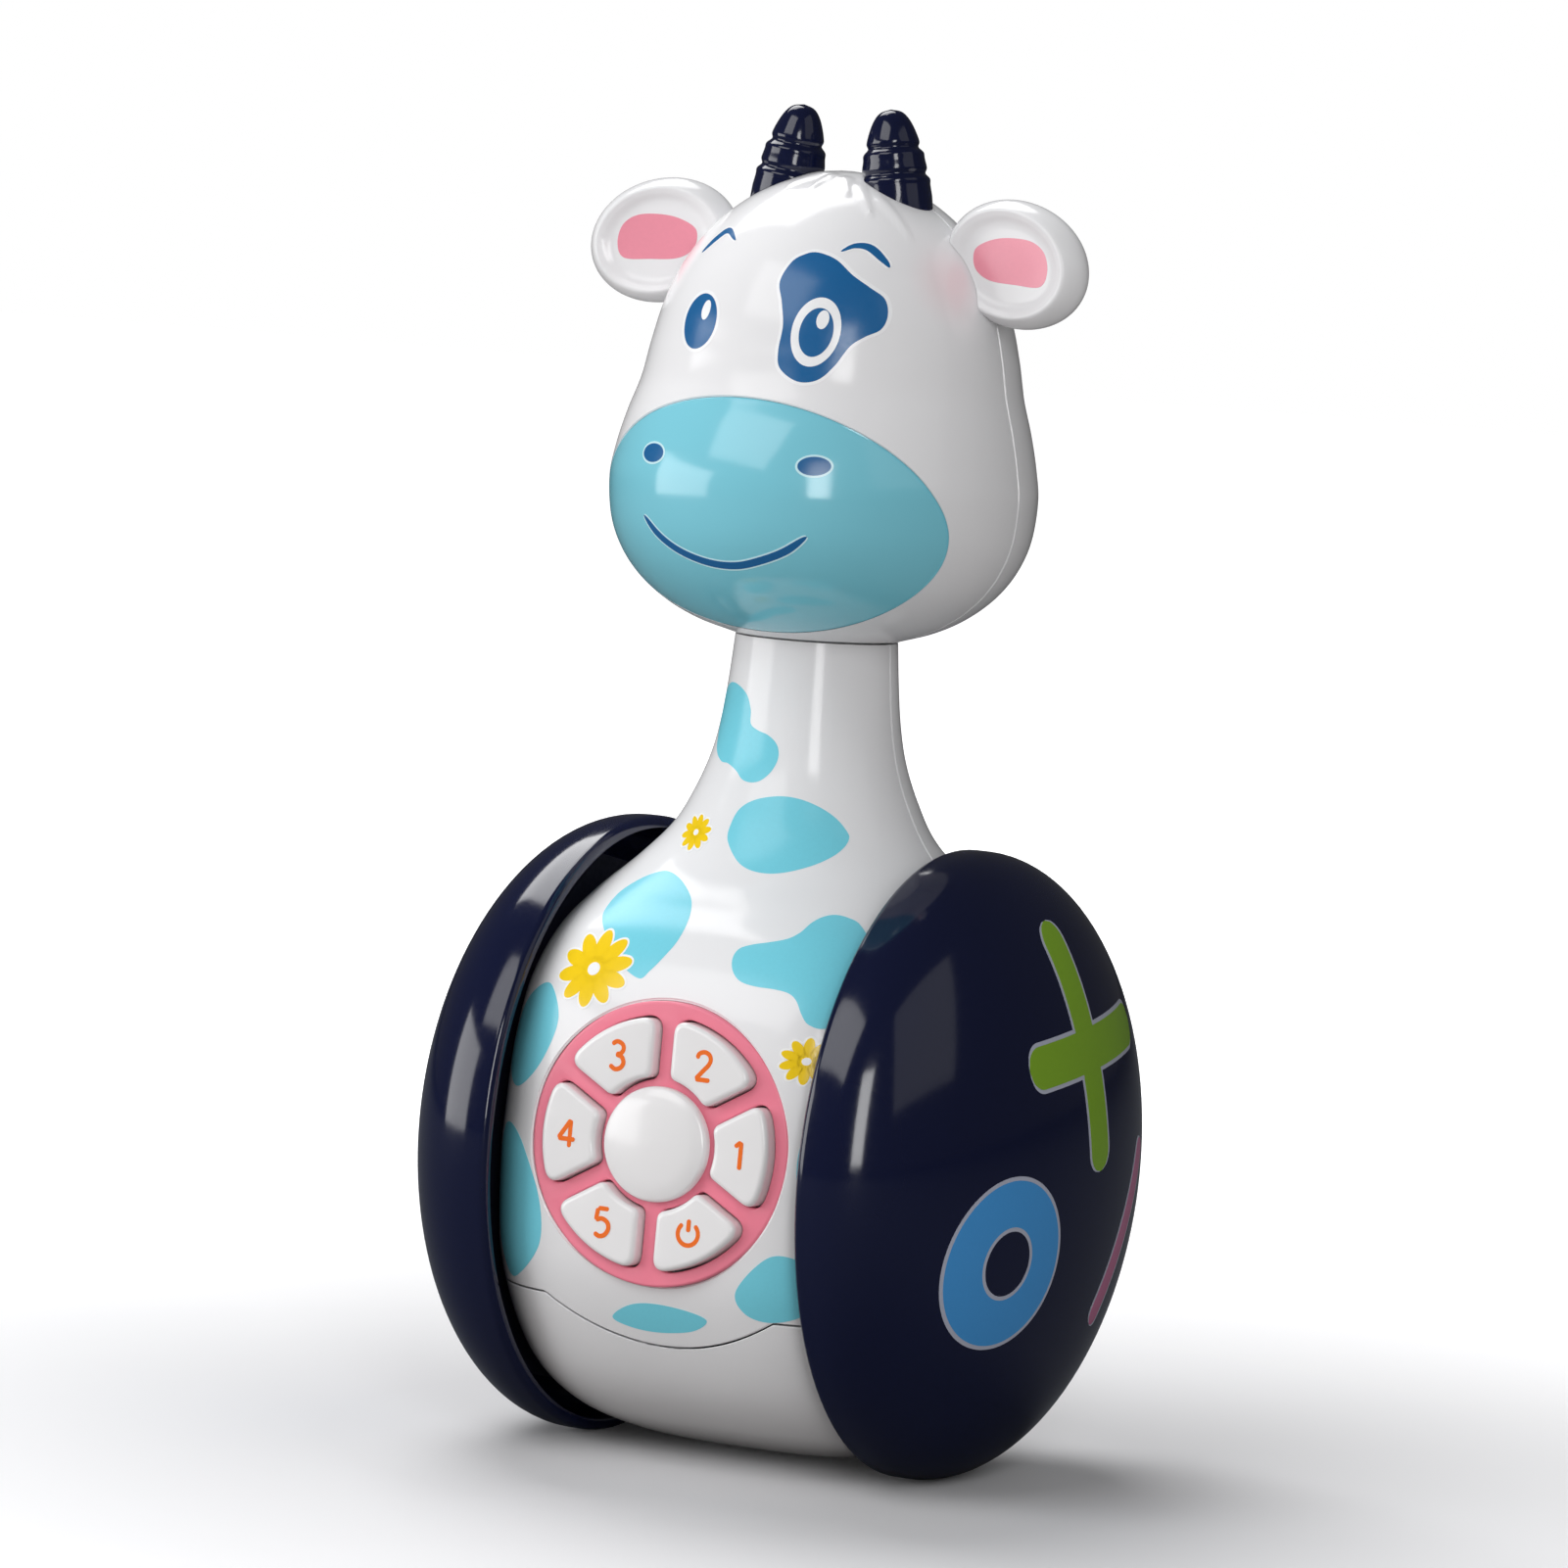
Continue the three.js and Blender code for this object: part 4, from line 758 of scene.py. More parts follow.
def loop_on(form, loop, back=False):
    """Rounding along a closed line of x, z on the front or the back of a form."""
    points, _ = form.surface(loop, back)
    return tube(points, True)


def halves(shell, front_name, back_name, form_at, hollow):
    """The front and back of a shell. A tongue of the back fits a rebate in the front and closes the seam."""
    front = part_of(shell, front_name, slab(-FAR, -GAP / 2))
    back = part_of(shell, back_name, slab(GAP / 2, FAR))
    tongue = cut(form_at(LIP_INSET + HAIRLINE).core(), hollow)
    joined(back, within(tongue, slab(-LIP_REACH, GAP)))
    cut(front, within(form_at(LIP_INSET).core(), slab(-LIP_REACH - HAIRLINE, 0)))
    return front, back


# Screws

def screw_line(screw, seat=0.0):
    """The placing of a screw, with local Z to its head at the back; its solid has a corner at the top."""
    low, high = node_box(screw)
    return placed(((low[0] + high[0]) / 2, seat, high[2] - SCREW_HEAD_RADIUS), (-pi / 2, "X"))


def add_well(shell, skin, screw, foot=GAP / 2, seat=BOSS_FLOOR):
    """A boss inside a shell for a screw, with a deep counterbore."""
    line = screw_line(screw)
    joined(shell, within(rod(BOSS_RADIUS, foot, FAR, line), skin.core()))
    cut(shell, rod(SCREW_RADIUS + GAP, -FAR, FAR, line), rod(SCREW_HEAD_RADIUS + GAP, seat, FAR, line))


def make_screw(screw, length=SCREW_LENGTH, seat=BOSS_FLOOR):
    """A pan-head screw with a cross recess, its head at the back."""
    matrix = screw_line(screw, seat + GAP)
    tip = GAP - length
    profile = [(0, tip), (SCREW_RADIUS, tip + SCREW_RADIUS), (SCREW_RADIUS, 0), (SCREW_HEAD_RADIUS, 0)]
    for cos, sin in arc(6, 0, 75):
        profile.append((SCREW_HEAD_RADIUS - SCREW_HEAD / 2 * (1 - cos), SCREW_HEAD / 2 * (1 + sin)))
    profile += [(SCREW_HEAD_RADIUS / 2, SCREW_HEAD), (0, SCREW_HEAD)]
    made = turned(f"{screw}_pan", profile, SCREW_SIDES, matrix)
    for reach in ((RECESS_ARM, RECESS_SLIT), (RECESS_SLIT, RECESS_ARM)):
        layers = [(SQUARE * reach, RECESS_FLOOR), (SQUARE * reach, SCREW_HEAD + GAP)]
        cut(made, stacked("bar", layers, matrix))
    finish_piece(made, steel, screw)


# Body

pad_matrix = placed((0, PAD_SINK - BELLY_RADIUS, AXLE_Z + PAD_RISE), (pi / 2 - PAD_TILT, "X"))
speaker_z = AXLE_Z + SPEAKER_RISE
speaker_matrix = placed((0, BODY.at(speaker_z)[2], speaker_z), (SPEAKER_TILT - pi / 2, "X"))
BODY_SCREWS = [f"body_screw_{k}" for k in (1, 2, 3, 4)]
HEAD_SCREWS = ["head_screw_1", "head_screw_2"]


def wheel_matrix(side):
    return placed((0, 0, AXLE_Z), (side * pi / 2, "Y"))


def door_outline(grow):
    """The battery door's outline in x, z with round corners, counter-clockwise from the front."""
    low, high = node_box("battery_cover")
    middle, half = (low + high)[[0, 2]] / 2, (high - low)[[0, 2]] / 2 - DOOR_CORNER
    corners = [middle + half * SQUARE[k] for k in range(4)]
    rounds = [(DOOR_CORNER + grow) * arc(9, 90 * k, 90 * k + 90) for k in range(4)]
    return np.concatenate(np.add(np.array(corners)[:, None], rounds))


def door_seam():
    """Rounding round the battery door, through evenly spread points."""
    loop = door_outline(GAP / 2)
    loop = np.append(loop, loop[:1], axis=0)
    run = run_along(loop)
    at = np.linspace(0, run[-1], DOOR_STEPS, endpoint=False)
    return loop_on(BODY, columns(*[np.interp(at, run, part) for part in loop.T]), back=True)


def make_body():
    def hollow():
        return body_form(WALL, open_top=True).core()

    shell = cut(BODY.mesh(), hollow())
    front, back = halves(shell, "belly_front", "belly_back", body_form, hollow())
    for half in (front, back):
        cut(half, below_seam(GAP / 2), wavy_seam())
        cut(half, *side_seam(BODY, SEAM_Z - SEAM_OVERRUN, NECK_TOP + SEAM_OVERRUN))
        cut(half, rod(BUSH_RADIUS + GAP, -FAR, FAR, wheel_matrix(1)))

    pad_hole = PAD_RADIUS + HAIRLINE
    cut(front, rod(pad_hole, -2 * PAD_THICKNESS - WALL, FAR, pad_matrix, LOOP_STEPS))
    cut(front, loop_on(BODY, ellipse(0, AXLE_Z + PAD_RISE, pad_hole, pad_hole, count=LOOP_STEPS)))
    finish_piece(front, white, "body_front")

    cut(back, prism_y(door_outline(GAP), 0, FAR), door_seam())
    for x, y in [(0, 0), *GRILLE_PITCH * columns(*around(GRILLE_RING))]:
        hole = speaker_matrix @ Matrix.Translation((x, y, 0))
        cut(back, rod(GRILLE_HOLE_RADIUS, -SPEAKER_SINK, FAR, hole, GRILLE_SIDES))
    for screw in BODY_SCREWS:
        add_well(back, body_form(SKIN), screw)
    finish_piece(back, white, "body_back")

    base = cut(part_of(shell, "belly_base", below_seam(-GAP / 2)), wavy_seam())
    finish_piece(base, white, "body_base")

    door = part_of(shell, "battery_door", prism_y(door_outline(0), 0, FAR))
    drop(shell)
    seat = BODY.at(screw_line("battery_cover_screw").translation.z)[2] - WALL
    add_well(door, body_form(SKIN), "battery_cover_screw", seat - WALL, seat)
    cut(door, door_seam())
    finish_piece(door, white, "battery_cover")
    make_screw("battery_cover_screw", SCREW_LENGTH / 2, seat)
    for screw in BODY_SCREWS:
        make_screw(screw)


# Head

# Moulded tuft in front of the horns: each lock runs from one point of the plan to another and is so wide.
TUFT_LOCKS = [
    ((0.8, -4.5), (-4.8, -10.8), 1.7),
    ((1.2, -5.0), (-0.2, -12.2), 1.5),
    ((2.0, -5.5), (6.2, -12.0), 1.7),
    ((4.5, -7.0), (11.2, -13.6), 1.7),
    ((8.0, -8.5), (17.5, -11.6), 1.5),
]
TUFT_HEIGHT = 0.4
LOCK_TAPER = 0.7
LOCK_TIP = 0.15  # width that is left at the tip
LOCK_ROOT = 0.35  # share of a lock over which it rises
LOCK_CROWN = 1.6  # roundness across


def tuft(points):
    """Raises the locks of the tuft out of the crown, each a leaf with a thin tip."""
    lift = np.zeros(len(points))
    for start, end, wide in TUFT_LOCKS:
        along = np.subtract(end, start)
        reach = points[:, :2] - start
        share = np.clip(reach @ along / (along @ along), 0, 1)
        off = np.linalg.norm(reach - share[:, None] * along, axis=1)
        width = wide * (1 - share ** 2) ** LOCK_TAPER + LOCK_TIP
        root = np.clip(share / LOCK_ROOT, 0, 1)
        leaf = np.maximum(1 - (off / width) ** LOCK_CROWN, 0) * root * root * (3 - 2 * root)
        lift = np.maximum(lift, TUFT_HEIGHT * leaf)
    raised = points.copy()
    raised[:, 2] += np.where(points[:, 2] > CHEEKS, lift, 0)
    return raised


def muzzle_outline(grow):
    cos, sin = around(MUZZLE_STEPS)
    tall = np.where(sin > 0, MUZZLE_RISE, MUZZLE_DROP) + grow
    return columns((MUZZLE_HALF_WIDTH + grow) * cos, MUZZLE_Z + tall * sin)


def make_head():
    def hollow():
        throat = rod(NECK_RADIUS - WALL, -FAR, CHEEKS, Matrix.Identity(4))
        return joined(head_form(WALL).core(), throat)

    def muzzle_seam():
        return loop_on(HEAD, muzzle_outline(HAIRLINE / 2))

    shell = cut(HEAD.mesh(relief=tuft), hollow())
    front, back = halves(shell, "head_face", "head_shell_back", head_form, hollow())
    for half in (front, back):
        cut(half, *side_seam(HEAD, HEAD_FLOOR - SEAM_OVERRUN, HEAD_TOP - CROWN_SEAM))
    cut(front, prism_y(muzzle_outline(HAIRLINE), -FAR, 0), muzzle_seam())
    finish_piece(front, face_white, "head_front")

    muzzle = part_of(shell, "muzzle_insert", prism_y(muzzle_outline(0), -FAR, -GAP))
    drop(shell)
    finish_piece(cut(muzzle, muzzle_seam()), muzzle_blue, "muzzle")

    for screw in HEAD_SCREWS:
        add_well(back, head_form(SKIN), screw)
    finish_piece(back, white, "head_back")
    for screw in HEAD_SCREWS:
        make_screw(screw)


def skull():
    """The outside of the head with a hairline round it."""
    return head_form(-HAIRLINE).mesh(relief=tuft)


# Section of an ear from the middle of its dish over the rim to the middle of its back: share of the way out,
# share of half the thickness in front of its middle plane, and share of the dish's depth
EAR_SECTION = np.array([
    (0, 1, 1), (0.42, 1, 1), (0.62, 1, 0.85), (0.76, 1, 0.15), (0.85, 0.9867, 0), (0.955, 0.5, 0),
    (0.998, 0, 0), (0.96, -0.5, 0), (0.84, -0.8933, 0), (0.6, -1, 0), (0.3, -1, 0), (0, -1, 0),
]) @ [(1, 0), (0, EAR_HALF_THICKNESS), (0, -EAR_DISH)]
EAR_FRONT = spline(EAR_SECTION[:6], 200)


def ear_frame(side):
    place = (side * (HEAD_RADIUS - EAR_INSET), EAR_Y, HEAD_TOP - EAR_DROP)
    return placed(place, (-side * EAR_TURN, "Z"), (side * EAR_DROOP, "Y"))


def make_ears():
    cos, sin = around(CAP_SIDES)
    rings = []
    for share, depth in spline(EAR_SECTION, 72)[-2:0:-1]:
        share = max(share, TINIEST)
        rings.append(columns(EAR_HALF_LENGTH * share * cos, -depth, EAR_HALF_HEIGHT * share * sin))
    for side, label in HANDS:
        ear = loft(f"ear_paddle_{label}", [moved(ring, ear_frame(side)) for ring in rings])
        finish_piece(cut(ear, skull()), white, f"ear_{label}", sharp=50)


# Outline of a horn as shares of its radius and length, and how far up its grooves are
HORN_SIDE = [
    (1.0, 0.0), (0.965, 0.14), (0.93, 0.26), (0.865, 0.41), (0.78, 0.56),
    (0.66, 0.73), (0.5, 0.875), (0.3, 0.965), (0.0, 1.0),
]
HORN_GROOVES = (0.26, 0.56)


def make_horns():
    line = spline(np.array(HORN_SIDE) * (HORN_RADIUS, HORN_LENGTH), 90)
    for high in HORN_GROOVES:
        off = (line[:, 1] - high * HORN_LENGTH) / HORN_GROOVE_SPREAD
        line[:, 0] += HORN_SHOULDER * np.exp(-(off + 2) ** 2) - HORN_GROOVE * np.exp(-off ** 2)
    profile = [(0, -HORN_ROOT), (HORN_RADIUS, -HORN_ROOT), *line]
    for side, label in HANDS:
        place = (side * HORN_X, HORN_Y, HEAD_TOP + HORN_TIP_RISE - HORN_LENGTH)
        horn = turned(f"horn_cone_{label}", profile, HORN_SIDES, placed(place, (-side * HORN_LEAN, "Y")))
        finish_piece(cut(horn, skull()), navy, f"horn_{label}", sharp=60)


# Wheels

def make_wheels():
    depth, radius = DOME_DEPTH - DOME_WALL, WHEEL_RADIUS - DOME_WALL
    profile = [(radius * cos, DOME_X + depth * sin) for cos, sin in arc(40, 90, 0)]
    profile += [(radius, TREAD_X), (radius + LIP_BEVEL[0], LIP_X + LIP_BEVEL[1])]
    for cos, sin in arc(10, 110, 0):
        profile.append((WHEEL_RADIUS - LIP_ROUND * (1 - cos), TREAD_X - LIP_ROUND * sin))
    profile += [(WHEEL_RADIUS * cos, DOME_X + SHOWN_DEPTH * sin) for cos, sin in arc(64)]
    for side, label in HANDS:
        dome = turned(f"dome_{label}", profile, TURN_SIDES, wheel_matrix(side))
        finish_piece(dome, navy, f"wheel_dome_{label}", f"wheel_{label}", sharp=50)


# Button pad

# Crown of the centre cap as shares of its radius and rise
CAP_CROWN = [(1, 0.3), (0.985, 0.45), (0.93, 0.6), (0.72, 0.8), (0.38, 0.93), (0.12, 0.985), (0, 1)]


def button_outline(grow):
    """One button about +X: straight sides beside the spokes, round corners, grown all round."""
    inside, outside = CAP_RADIUS + CAP_MARGIN - grow, PAD_RADIUS - PAD_RIM + grow
    spoke = BUTTON_SPOKE / 2 - grow
    reach = BUTTON_CORNER + grow

    def edge(radius):
        return pi / BUTTON_COUNT - np.arcsin(spoke / radius)

    def at(radius, angle):
        return np.array((radius * np.cos(angle), radius * np.sin(angle)))

    def end(radius, corner):
        return edge(radius) - abs(corner) / radius

    def bend(radius, corner):
        first, knee = at(radius, end(radius, corner)), at(radius, edge(radius))
        last = at(radius + corner, edge(radius + corner))
        t = np.linspace(0, 1, 9)[:, None]
        return first * (1 - t) ** 2 + 2 * knee * t * (1 - t) + last * t ** 2

    half = np.concatenate([
        [at(outside, angle) for angle in np.linspace(0, end(outside, reach), 8)[:-1]],
        bend(outside, -reach),
        bend(inside, reach / 2)[::-1],
        [at(inside, angle) for angle in np.linspace(end(inside, reach / 2), 0, 4)[1:]],
    ])
    return np.concatenate([half, half[1:-1][::-1] * (1, -1)])


def pad_turn(k):
    return pad_matrix @ Matrix.Rotation(k * 2 * pi / BUTTON_COUNT, 4, "Z")


def make_pad():
    edge = [(0, -PAD_THICKNESS), (PAD_RADIUS, -PAD_THICKNESS)]
    edge += [(PAD_RADIUS - PAD_EDGE * (1 - cos), PAD_EDGE * (sin - 1)) for cos, sin in arc(7)]
    ring = turned("pad_ring", edge + [(0, 0)], TURN_SIDES, pad_matrix)
    layers = [(button_outline(GAP), -2 * PAD_THICKNESS)]
    for cos, sin in arc(5):
        layers.append((button_outline(GAP + BUTTON_MOUTH * (1 - cos)), BUTTON_MOUTH * (sin - 1)))
    layers.append((button_outline(GAP + BUTTON_MOUTH), PAD_THICKNESS))
    cut(ring, *[stacked("mouth", layers, pad_turn(k)) for k in range(BUTTON_COUNT)])
    cut(ring, rod(CAP_STEM_RADIUS + GAP, -FAR, FAR, pad_matrix))
    finish_piece(ring, pink, "button_ring")

    layers = [(button_outline(0), -BUTTON_SINK)]
    for cos, sin in arc(9):
        layers.append((button_outline(BUTTON_ROUND * (cos - 1)), BUTTON_RISE - BUTTON_ROUND * (1 - sin)))
    for k in range(BUTTON_COUNT):
        name = f"button_{k + 1}"
        button = stacked(f"{name}_key", layers, pad_turn(k))
        finish_piece(button, button_white, name, name, sharp=40)

    stem = [(0, -PAD_THICKNESS), (CAP_STEM_RADIUS, -PAD_THICKNESS), (CAP_STEM_RADIUS, GAP), (CAP_RADIUS, GAP)]
    crown = spline(CAP_CROWN, 60) * (CAP_RADIUS, CAP_RISE)
    cap = turned("pad_cap", [*stem, *crown], CAP_SIDES, pad_matrix)
    finish_piece(cap, button_white, "centre_cap")


# Prints: thin films of ink laid on the surfaces

FILM = 0.03  # first film above the surface, and each one over it
FILM_ROOT = 0.06  # how far a film's edge goes into the surface
PATCH_RINGS = 12


def dome_surface(side, flat):
    """The outside of a wheel, by its places across and up as seen from that side."""
    across, up = side * flat[:, 0], flat[:, 1] - AXLE_Z
    share = np.maximum(1 - (across ** 2 + up ** 2) / WHEEL_RADIUS ** 2, 1e-6) ** 0.5
    points = columns(side * (DOME_X + SHOWN_DEPTH * share), across, flat[:, 1])
    slopes = columns(side * share / SHOWN_DEPTH, across / WHEEL_RADIUS ** 2, up / WHEEL_RADIUS ** 2)
    return points, unit(slopes)


def pad_surface(flat):
    """The flat tops of the buttons, by x to the viewer's right and y up from the pad's middle."""
    points = columns(*flat.T, BUTTON_RISE)
    return moved(points, pad_matrix), np.tile(pad_matrix.col[2].xyz, (len(flat), 1))


def ear_surface(side, flat):
    """The front of an ear, by places along and up from its middle."""
    out = np.linalg.norm(flat / (EAR_HALF_LENGTH, EAR_HALF_HEIGHT), axis=1)
    points = columns(flat[:, 0], -np.interp(out, *EAR_FRONT.T), flat[:, 1])
    matrix = ear_frame(side)
    return moved(points, matrix), np.tile(-matrix.col[1].xyz, (len(flat), 1))


def film(flat, faces, surface, layer):
    """A closed thin film over a flat mesh: its top, its underside, and walls along its border."""
    points, normals = surface(flat)
    count = len(points)
    both = np.concatenate([points + normals * FILM * layer, points - normals * FILM_ROOT])
    edges = [edge for face in faces for edge in zip(face, face[1:] + face[:1])]
    known = set(edges)
    walls = [(a, count + a, count + b, b) for a, b in edges if (b, a) not in known]
    below = [[count + i for i in reversed(face)] for face in faces]
    return both, faces + below + walls


def patch(outline, surface, layer=1, middle=None):
    """A film inside a closed outline, drawn in towards its middle."""
    if turn_sense(outline) < 0:
        outline = outline[::-1]
    middle = outline.mean(0) if middle is None else middle
    shares = np.linspace(1, 0, PATCH_RINGS, endpoint=False)
    flat = np.concatenate([*[middle + (outline - middle) * share for share in shares], [middle]])
    sides, total = len(outline), len(flat) - 1
    faces = grid_faces(PATCH_RINGS, sides) + fan(range(total - sides, total), total)
    return film(flat, faces, surface, layer)


def stroke(line, half_widths, surface, layer=1, closed=False, across=6):
    """A film along a line, as wide as said at each of its points."""
    right = heading(line, closed)[:, ::-1] * (1, -1) * np.broadcast_to(half_widths, len(line))[:, None]
    flat = line[:, None] + right[:, None] * np.linspace(-1, 1, across + 1)[:, None]
    faces = grid_faces(len(line), across + 1, closed, False)
    return film(flat.reshape(-1, 2), faces, surface, layer)


def rimmed(outline, rim, surface, layer=1, middle=None):
    """A film, and a wider one under it."""
    return patch(grown(outline, rim), surface, layer, middle), patch(outline, surface, layer + 1, middle)


def rimmed_line(line, half_widths, rim, surface, **shape):
    """A film along a line, and a wider one under it."""
    wider = stroke(line, half_widths + rim, surface, 1, **shape)
    return wider, stroke(line, half_widths, surface, 2, **shape)


def make_print(name, films, material, body="body"):
    points, faces, start = [], [], 0
    for film_points, film_faces in films:
        points.append(film_points)
        faces += [[start + i for i in face] for face in film_faces]
        start += len(film_points)
    finish_piece(make(name, np.concatenate(points), faces), material, body=body, sharp=60)


def blob(points, count=120):
    return spline(points, count, closed=True)


def pen(line, width, count, taper=None):
    """A line through points with half widths that end round, or that taper over a share of its length."""
    points = spline(line, count)
    run = run_along(points)
    reach = taper * run[-1] if taper else width / 2
    near = np.clip(np.minimum(run, run[-1] - run) / reach, TINIEST, 1)
    return points, width / 2 * np.sqrt(1 - (1 - near) ** 2)


# Cow spots on the front of the body, each by points of its outline in x and z
SPOTS = [
    [(-8.1, 123.5), (-5.5, 122.2), (-4.2, 119.9), (-3.8, 117.7), (-2.4, 116.8), (-0.1, 116.1), (1.6, 114.7),
     (2.1, 112.7), (1.4, 110.6), (0, 109.1), (-1.7, 108.6), (-3.5, 108.9), (-5.1, 110.1), (-7.2, 111),
     (-9.1, 111.2), (-11.3, 113), (-12.2, 117), (-12.1, 121), (-10.4, 123.3)],
    [(-3.3, 99.5), (-3.6, 101.7), (-2.7, 104.3), (-0.3, 106), (3.3, 106.9), (6.5, 106.8), (9.6, 105.8),
     (12.2, 104.2), (14.2, 102.1), (14.7, 101), (14.5, 99.6), (13.5, 98.2), (11.4, 96.8), (8.1, 95.6),
     (5, 95.2), (1.8, 95.6), (-0.8, 96.9)],
    [(-18.7, 85.9), (-19.6, 87.5), (-19.2, 89.8), (-17.1, 91.9), (-14.5, 93.3), (-12.1, 93.8), (-9.2, 93.1),
     (-6.3, 91.5), (-4.5, 89.8), (-3.4, 87.2), (-3.4, 84.5), (-4.4, 82.2), (-6, 79.7), (-7.5, 78.4),
     (-11.7, 80.3), (-15.9, 83.6)],
    [(7.7, 81.3), (7, 82.9), (7.4, 84.3), (9.2, 85.1), (11.8, 85.7), (14.2, 86.4), (15.5, 87.4), (16.2, 88.8),
     (17.3, 89.8), (18.8, 90.2), (20.7, 89.9), (22.8, 89), (25.3, 86.5), (26.4, 82), (26.3, 77), (25.6, 74.6),
     (24.2, 73.9), (22.2, 74.5), (20.9, 75.9), (19.6, 77.7), (18.1, 78.7), (15.7, 79.1), (12.8, 79.2),
     (10.5, 79.5), (9, 80.1)],
    [(-30.4, 62.5), (-29.8, 70), (-27.2, 74.2), (-23.4, 75.7), (-20.1, 70.7), (-22.3, 63.6), (-27, 59.4)],
    [(-29.7, 52.5), (-25, 51.9), (-20.3, 43.5), (-20, 35.7), (-24.9, 30), (-28.3, 30), (-31, 40)],
    [(24.1, 56.5), (27.5, 60), (30.5, 56), (30.8, 50), (28, 45.5), (24.4, 49)],
    [(14.8, 32.5), (20.4, 38.4), (25.4, 37.7), (26.8, 33.5), (24.9, 29.5), (19.7, 27.8), (15.7, 28.9)],
    [(-7.9, 25.2), (-4.5, 27.6), (0, 28.4), (6, 27.9), (9, 26.7), (6, 24.6), (0, 23.6), (-5, 23.9)],
]
# Daisies by their middle and the reach of their petals, and the shares of that reach for their parts
DAISIES = [(-10.1, 99.9, 3.1), (-15.9, 78.9, 6.5), (23.2, 68.9, 4.0)]
PETALS = 10
PETAL_MIDDLE = 0.62
PETAL_HALF = (0.4, 0.2)
DAISY_DISC = 0.36
DAISY_HEART = 0.17
DAISY_SQUASH = 0.87  # daisies are printed lower than they are wide
DAISY_RIM = 0.3  # white left free round a daisy

# Face by ellipses of middle, half width, half height and lean in degrees, and by points of outlines and lines
LEFT_EYE = (-11, 180.6, 3.4, 4.35, -4)
LEFT_GLINT = (-10.1, 182.4, 0.85, 1.55, -6)
RIGHT_EYE = (9.6, 180.2, 2.48, 3.8)
RIGHT_EYE_RING = (9.5, 180.25, 3.6, 5.37)
RIGHT_GLINT = (10.25, 182.2, 0.9, 1.45)
EYE_RIM = 0.55
EYE_PATCH = [
    (6.6, 192.5), (9.7, 191.6), (12.8, 189.3), (15.5, 187.6), (17.7, 186), (18.6, 183.5), (18.2, 181.3),
    (16.4, 180), (14.7, 178.4), (13.1, 175.2), (11.1, 172.9), (8.2, 172.5), (5.2, 174.3), (4.4, 177),
    (4.4, 181), (3.4, 184.6), (2.3, 187.6), (3.2, 190.7), (4.7, 192),
]
EYE_PATCH_MIDDLE = (9.6, 182)
EYE_PATCH_RIM = 0.5
BROWS = [
    [(-15.5, 191.2), (-13.3, 193.5), (-11.1, 194.9), (-8.5, 193.5)],
    [(9.9, 192.9), (11.5, 193.9), (13.5, 193.7), (15.9, 191.9), (16.9, 190.9)],
]
BROW_WIDTH = 0.95
BROW_TAPER = 0.5
BROW_RIM = 0.25
NOSTRILS = [(-14, 159.8, 2.3, 1.45), (14, 159.8, 2.3, 1.45)]
NOSTRIL_RIM = 0.32
MOUTH = [
    (-15, 150), (-11.7, 147.1), (-7.5, 144.9), (-2.5, 143.6),
    (2.1, 143.5), (6.3, 144.6), (10.4, 146.4), (13.7, 148.9),
]
MOUTH_WIDTH = 1.1
MOUTH_TAPER = 0.14
MOUTH_RIM = 0.22
EAR_PATCH = [
    (7.1, 0.9), (5.6, 3.6), (2.6, 4.6), (-1.8, 3.7), (-4.9, 2.1),
    (-6.6, 0.1), (-5.6, -2.5), (-2.6, -3.5), (2.2, -2.7), (6.5, -1.6),
]


def make_body_prints():
    make_print("print_spots", [patch(blob(points), BODY.surface) for points in SPOTS], spot_ink)
    squash = (1, DAISY_SQUASH)
    pairs, discs, hearts = [], [], []
    for x, z, reach in DAISIES:
        for k in range(PETALS):
            degrees = 90 + k * 360 / PETALS
            middle = PETAL_MIDDLE * arc(1, degrees)[0]
            petal = reach * ellipse(*middle, *PETAL_HALF, degrees, 32)
            pairs.append(rimmed(petal * squash + (x, z), DAISY_RIM, BODY.surface, 2))
        for films, share, layer in ((discs, DAISY_DISC, 3), (hearts, DAISY_HEART, 4)):
            disc = ellipse(0, 0, share, share, count=32)
            films.append(patch(reach * disc * squash + (x, z), BODY.surface, layer))
    rims, petals = zip(*pairs)
    make_print("print_daisy_rims", rims, white_ink)
    make_print("print_daisies", [*petals, *discs], yellow_ink)
    make_print("print_daisy_hearts", hearts, white_ink)


def make_face_prints():
    head = HEAD.surface
    pairs = [
        rimmed(ellipse(*LEFT_EYE), EYE_RIM, head),
        rimmed(blob(EYE_PATCH, 160), EYE_PATCH_RIM, head, middle=EYE_PATCH_MIDDLE),
        *[rimmed_line(*pen(line, BROW_WIDTH, 48, BROW_TAPER), BROW_RIM, head) for line in BROWS],
    ]
    rims, blues = zip(*pairs)
    whites = [patch(ellipse(*shape), head, layer)
              for shape, layer in ((RIGHT_EYE_RING, 3), (LEFT_GLINT, 3), (RIGHT_GLINT, 5))]
    make_print("print_face_rims", [*rims, *whites], white_ink)
    make_print("print_face_blue", [*blues, patch(ellipse(*RIGHT_EYE), head, 4)], blue_ink)

    pairs = [rimmed(ellipse(*shape), NOSTRIL_RIM, head) for shape in NOSTRILS]
    pairs.append(rimmed_line(*pen(MOUTH, MOUTH_WIDTH, 90, MOUTH_TAPER), MOUTH_RIM, head))
    pales, darks = zip(*pairs)
    make_print("print_muzzle_halo", pales, pale_ink)
    make_print("print_muzzle_blue", darks, blue_ink)
    for side, label in HANDS:
        outline = blob(np.array(EAR_PATCH) * (side, 1))
        make_print(f"print_ear_{label}", [patch(outline, partial(ear_surface, side))], pink_ink)


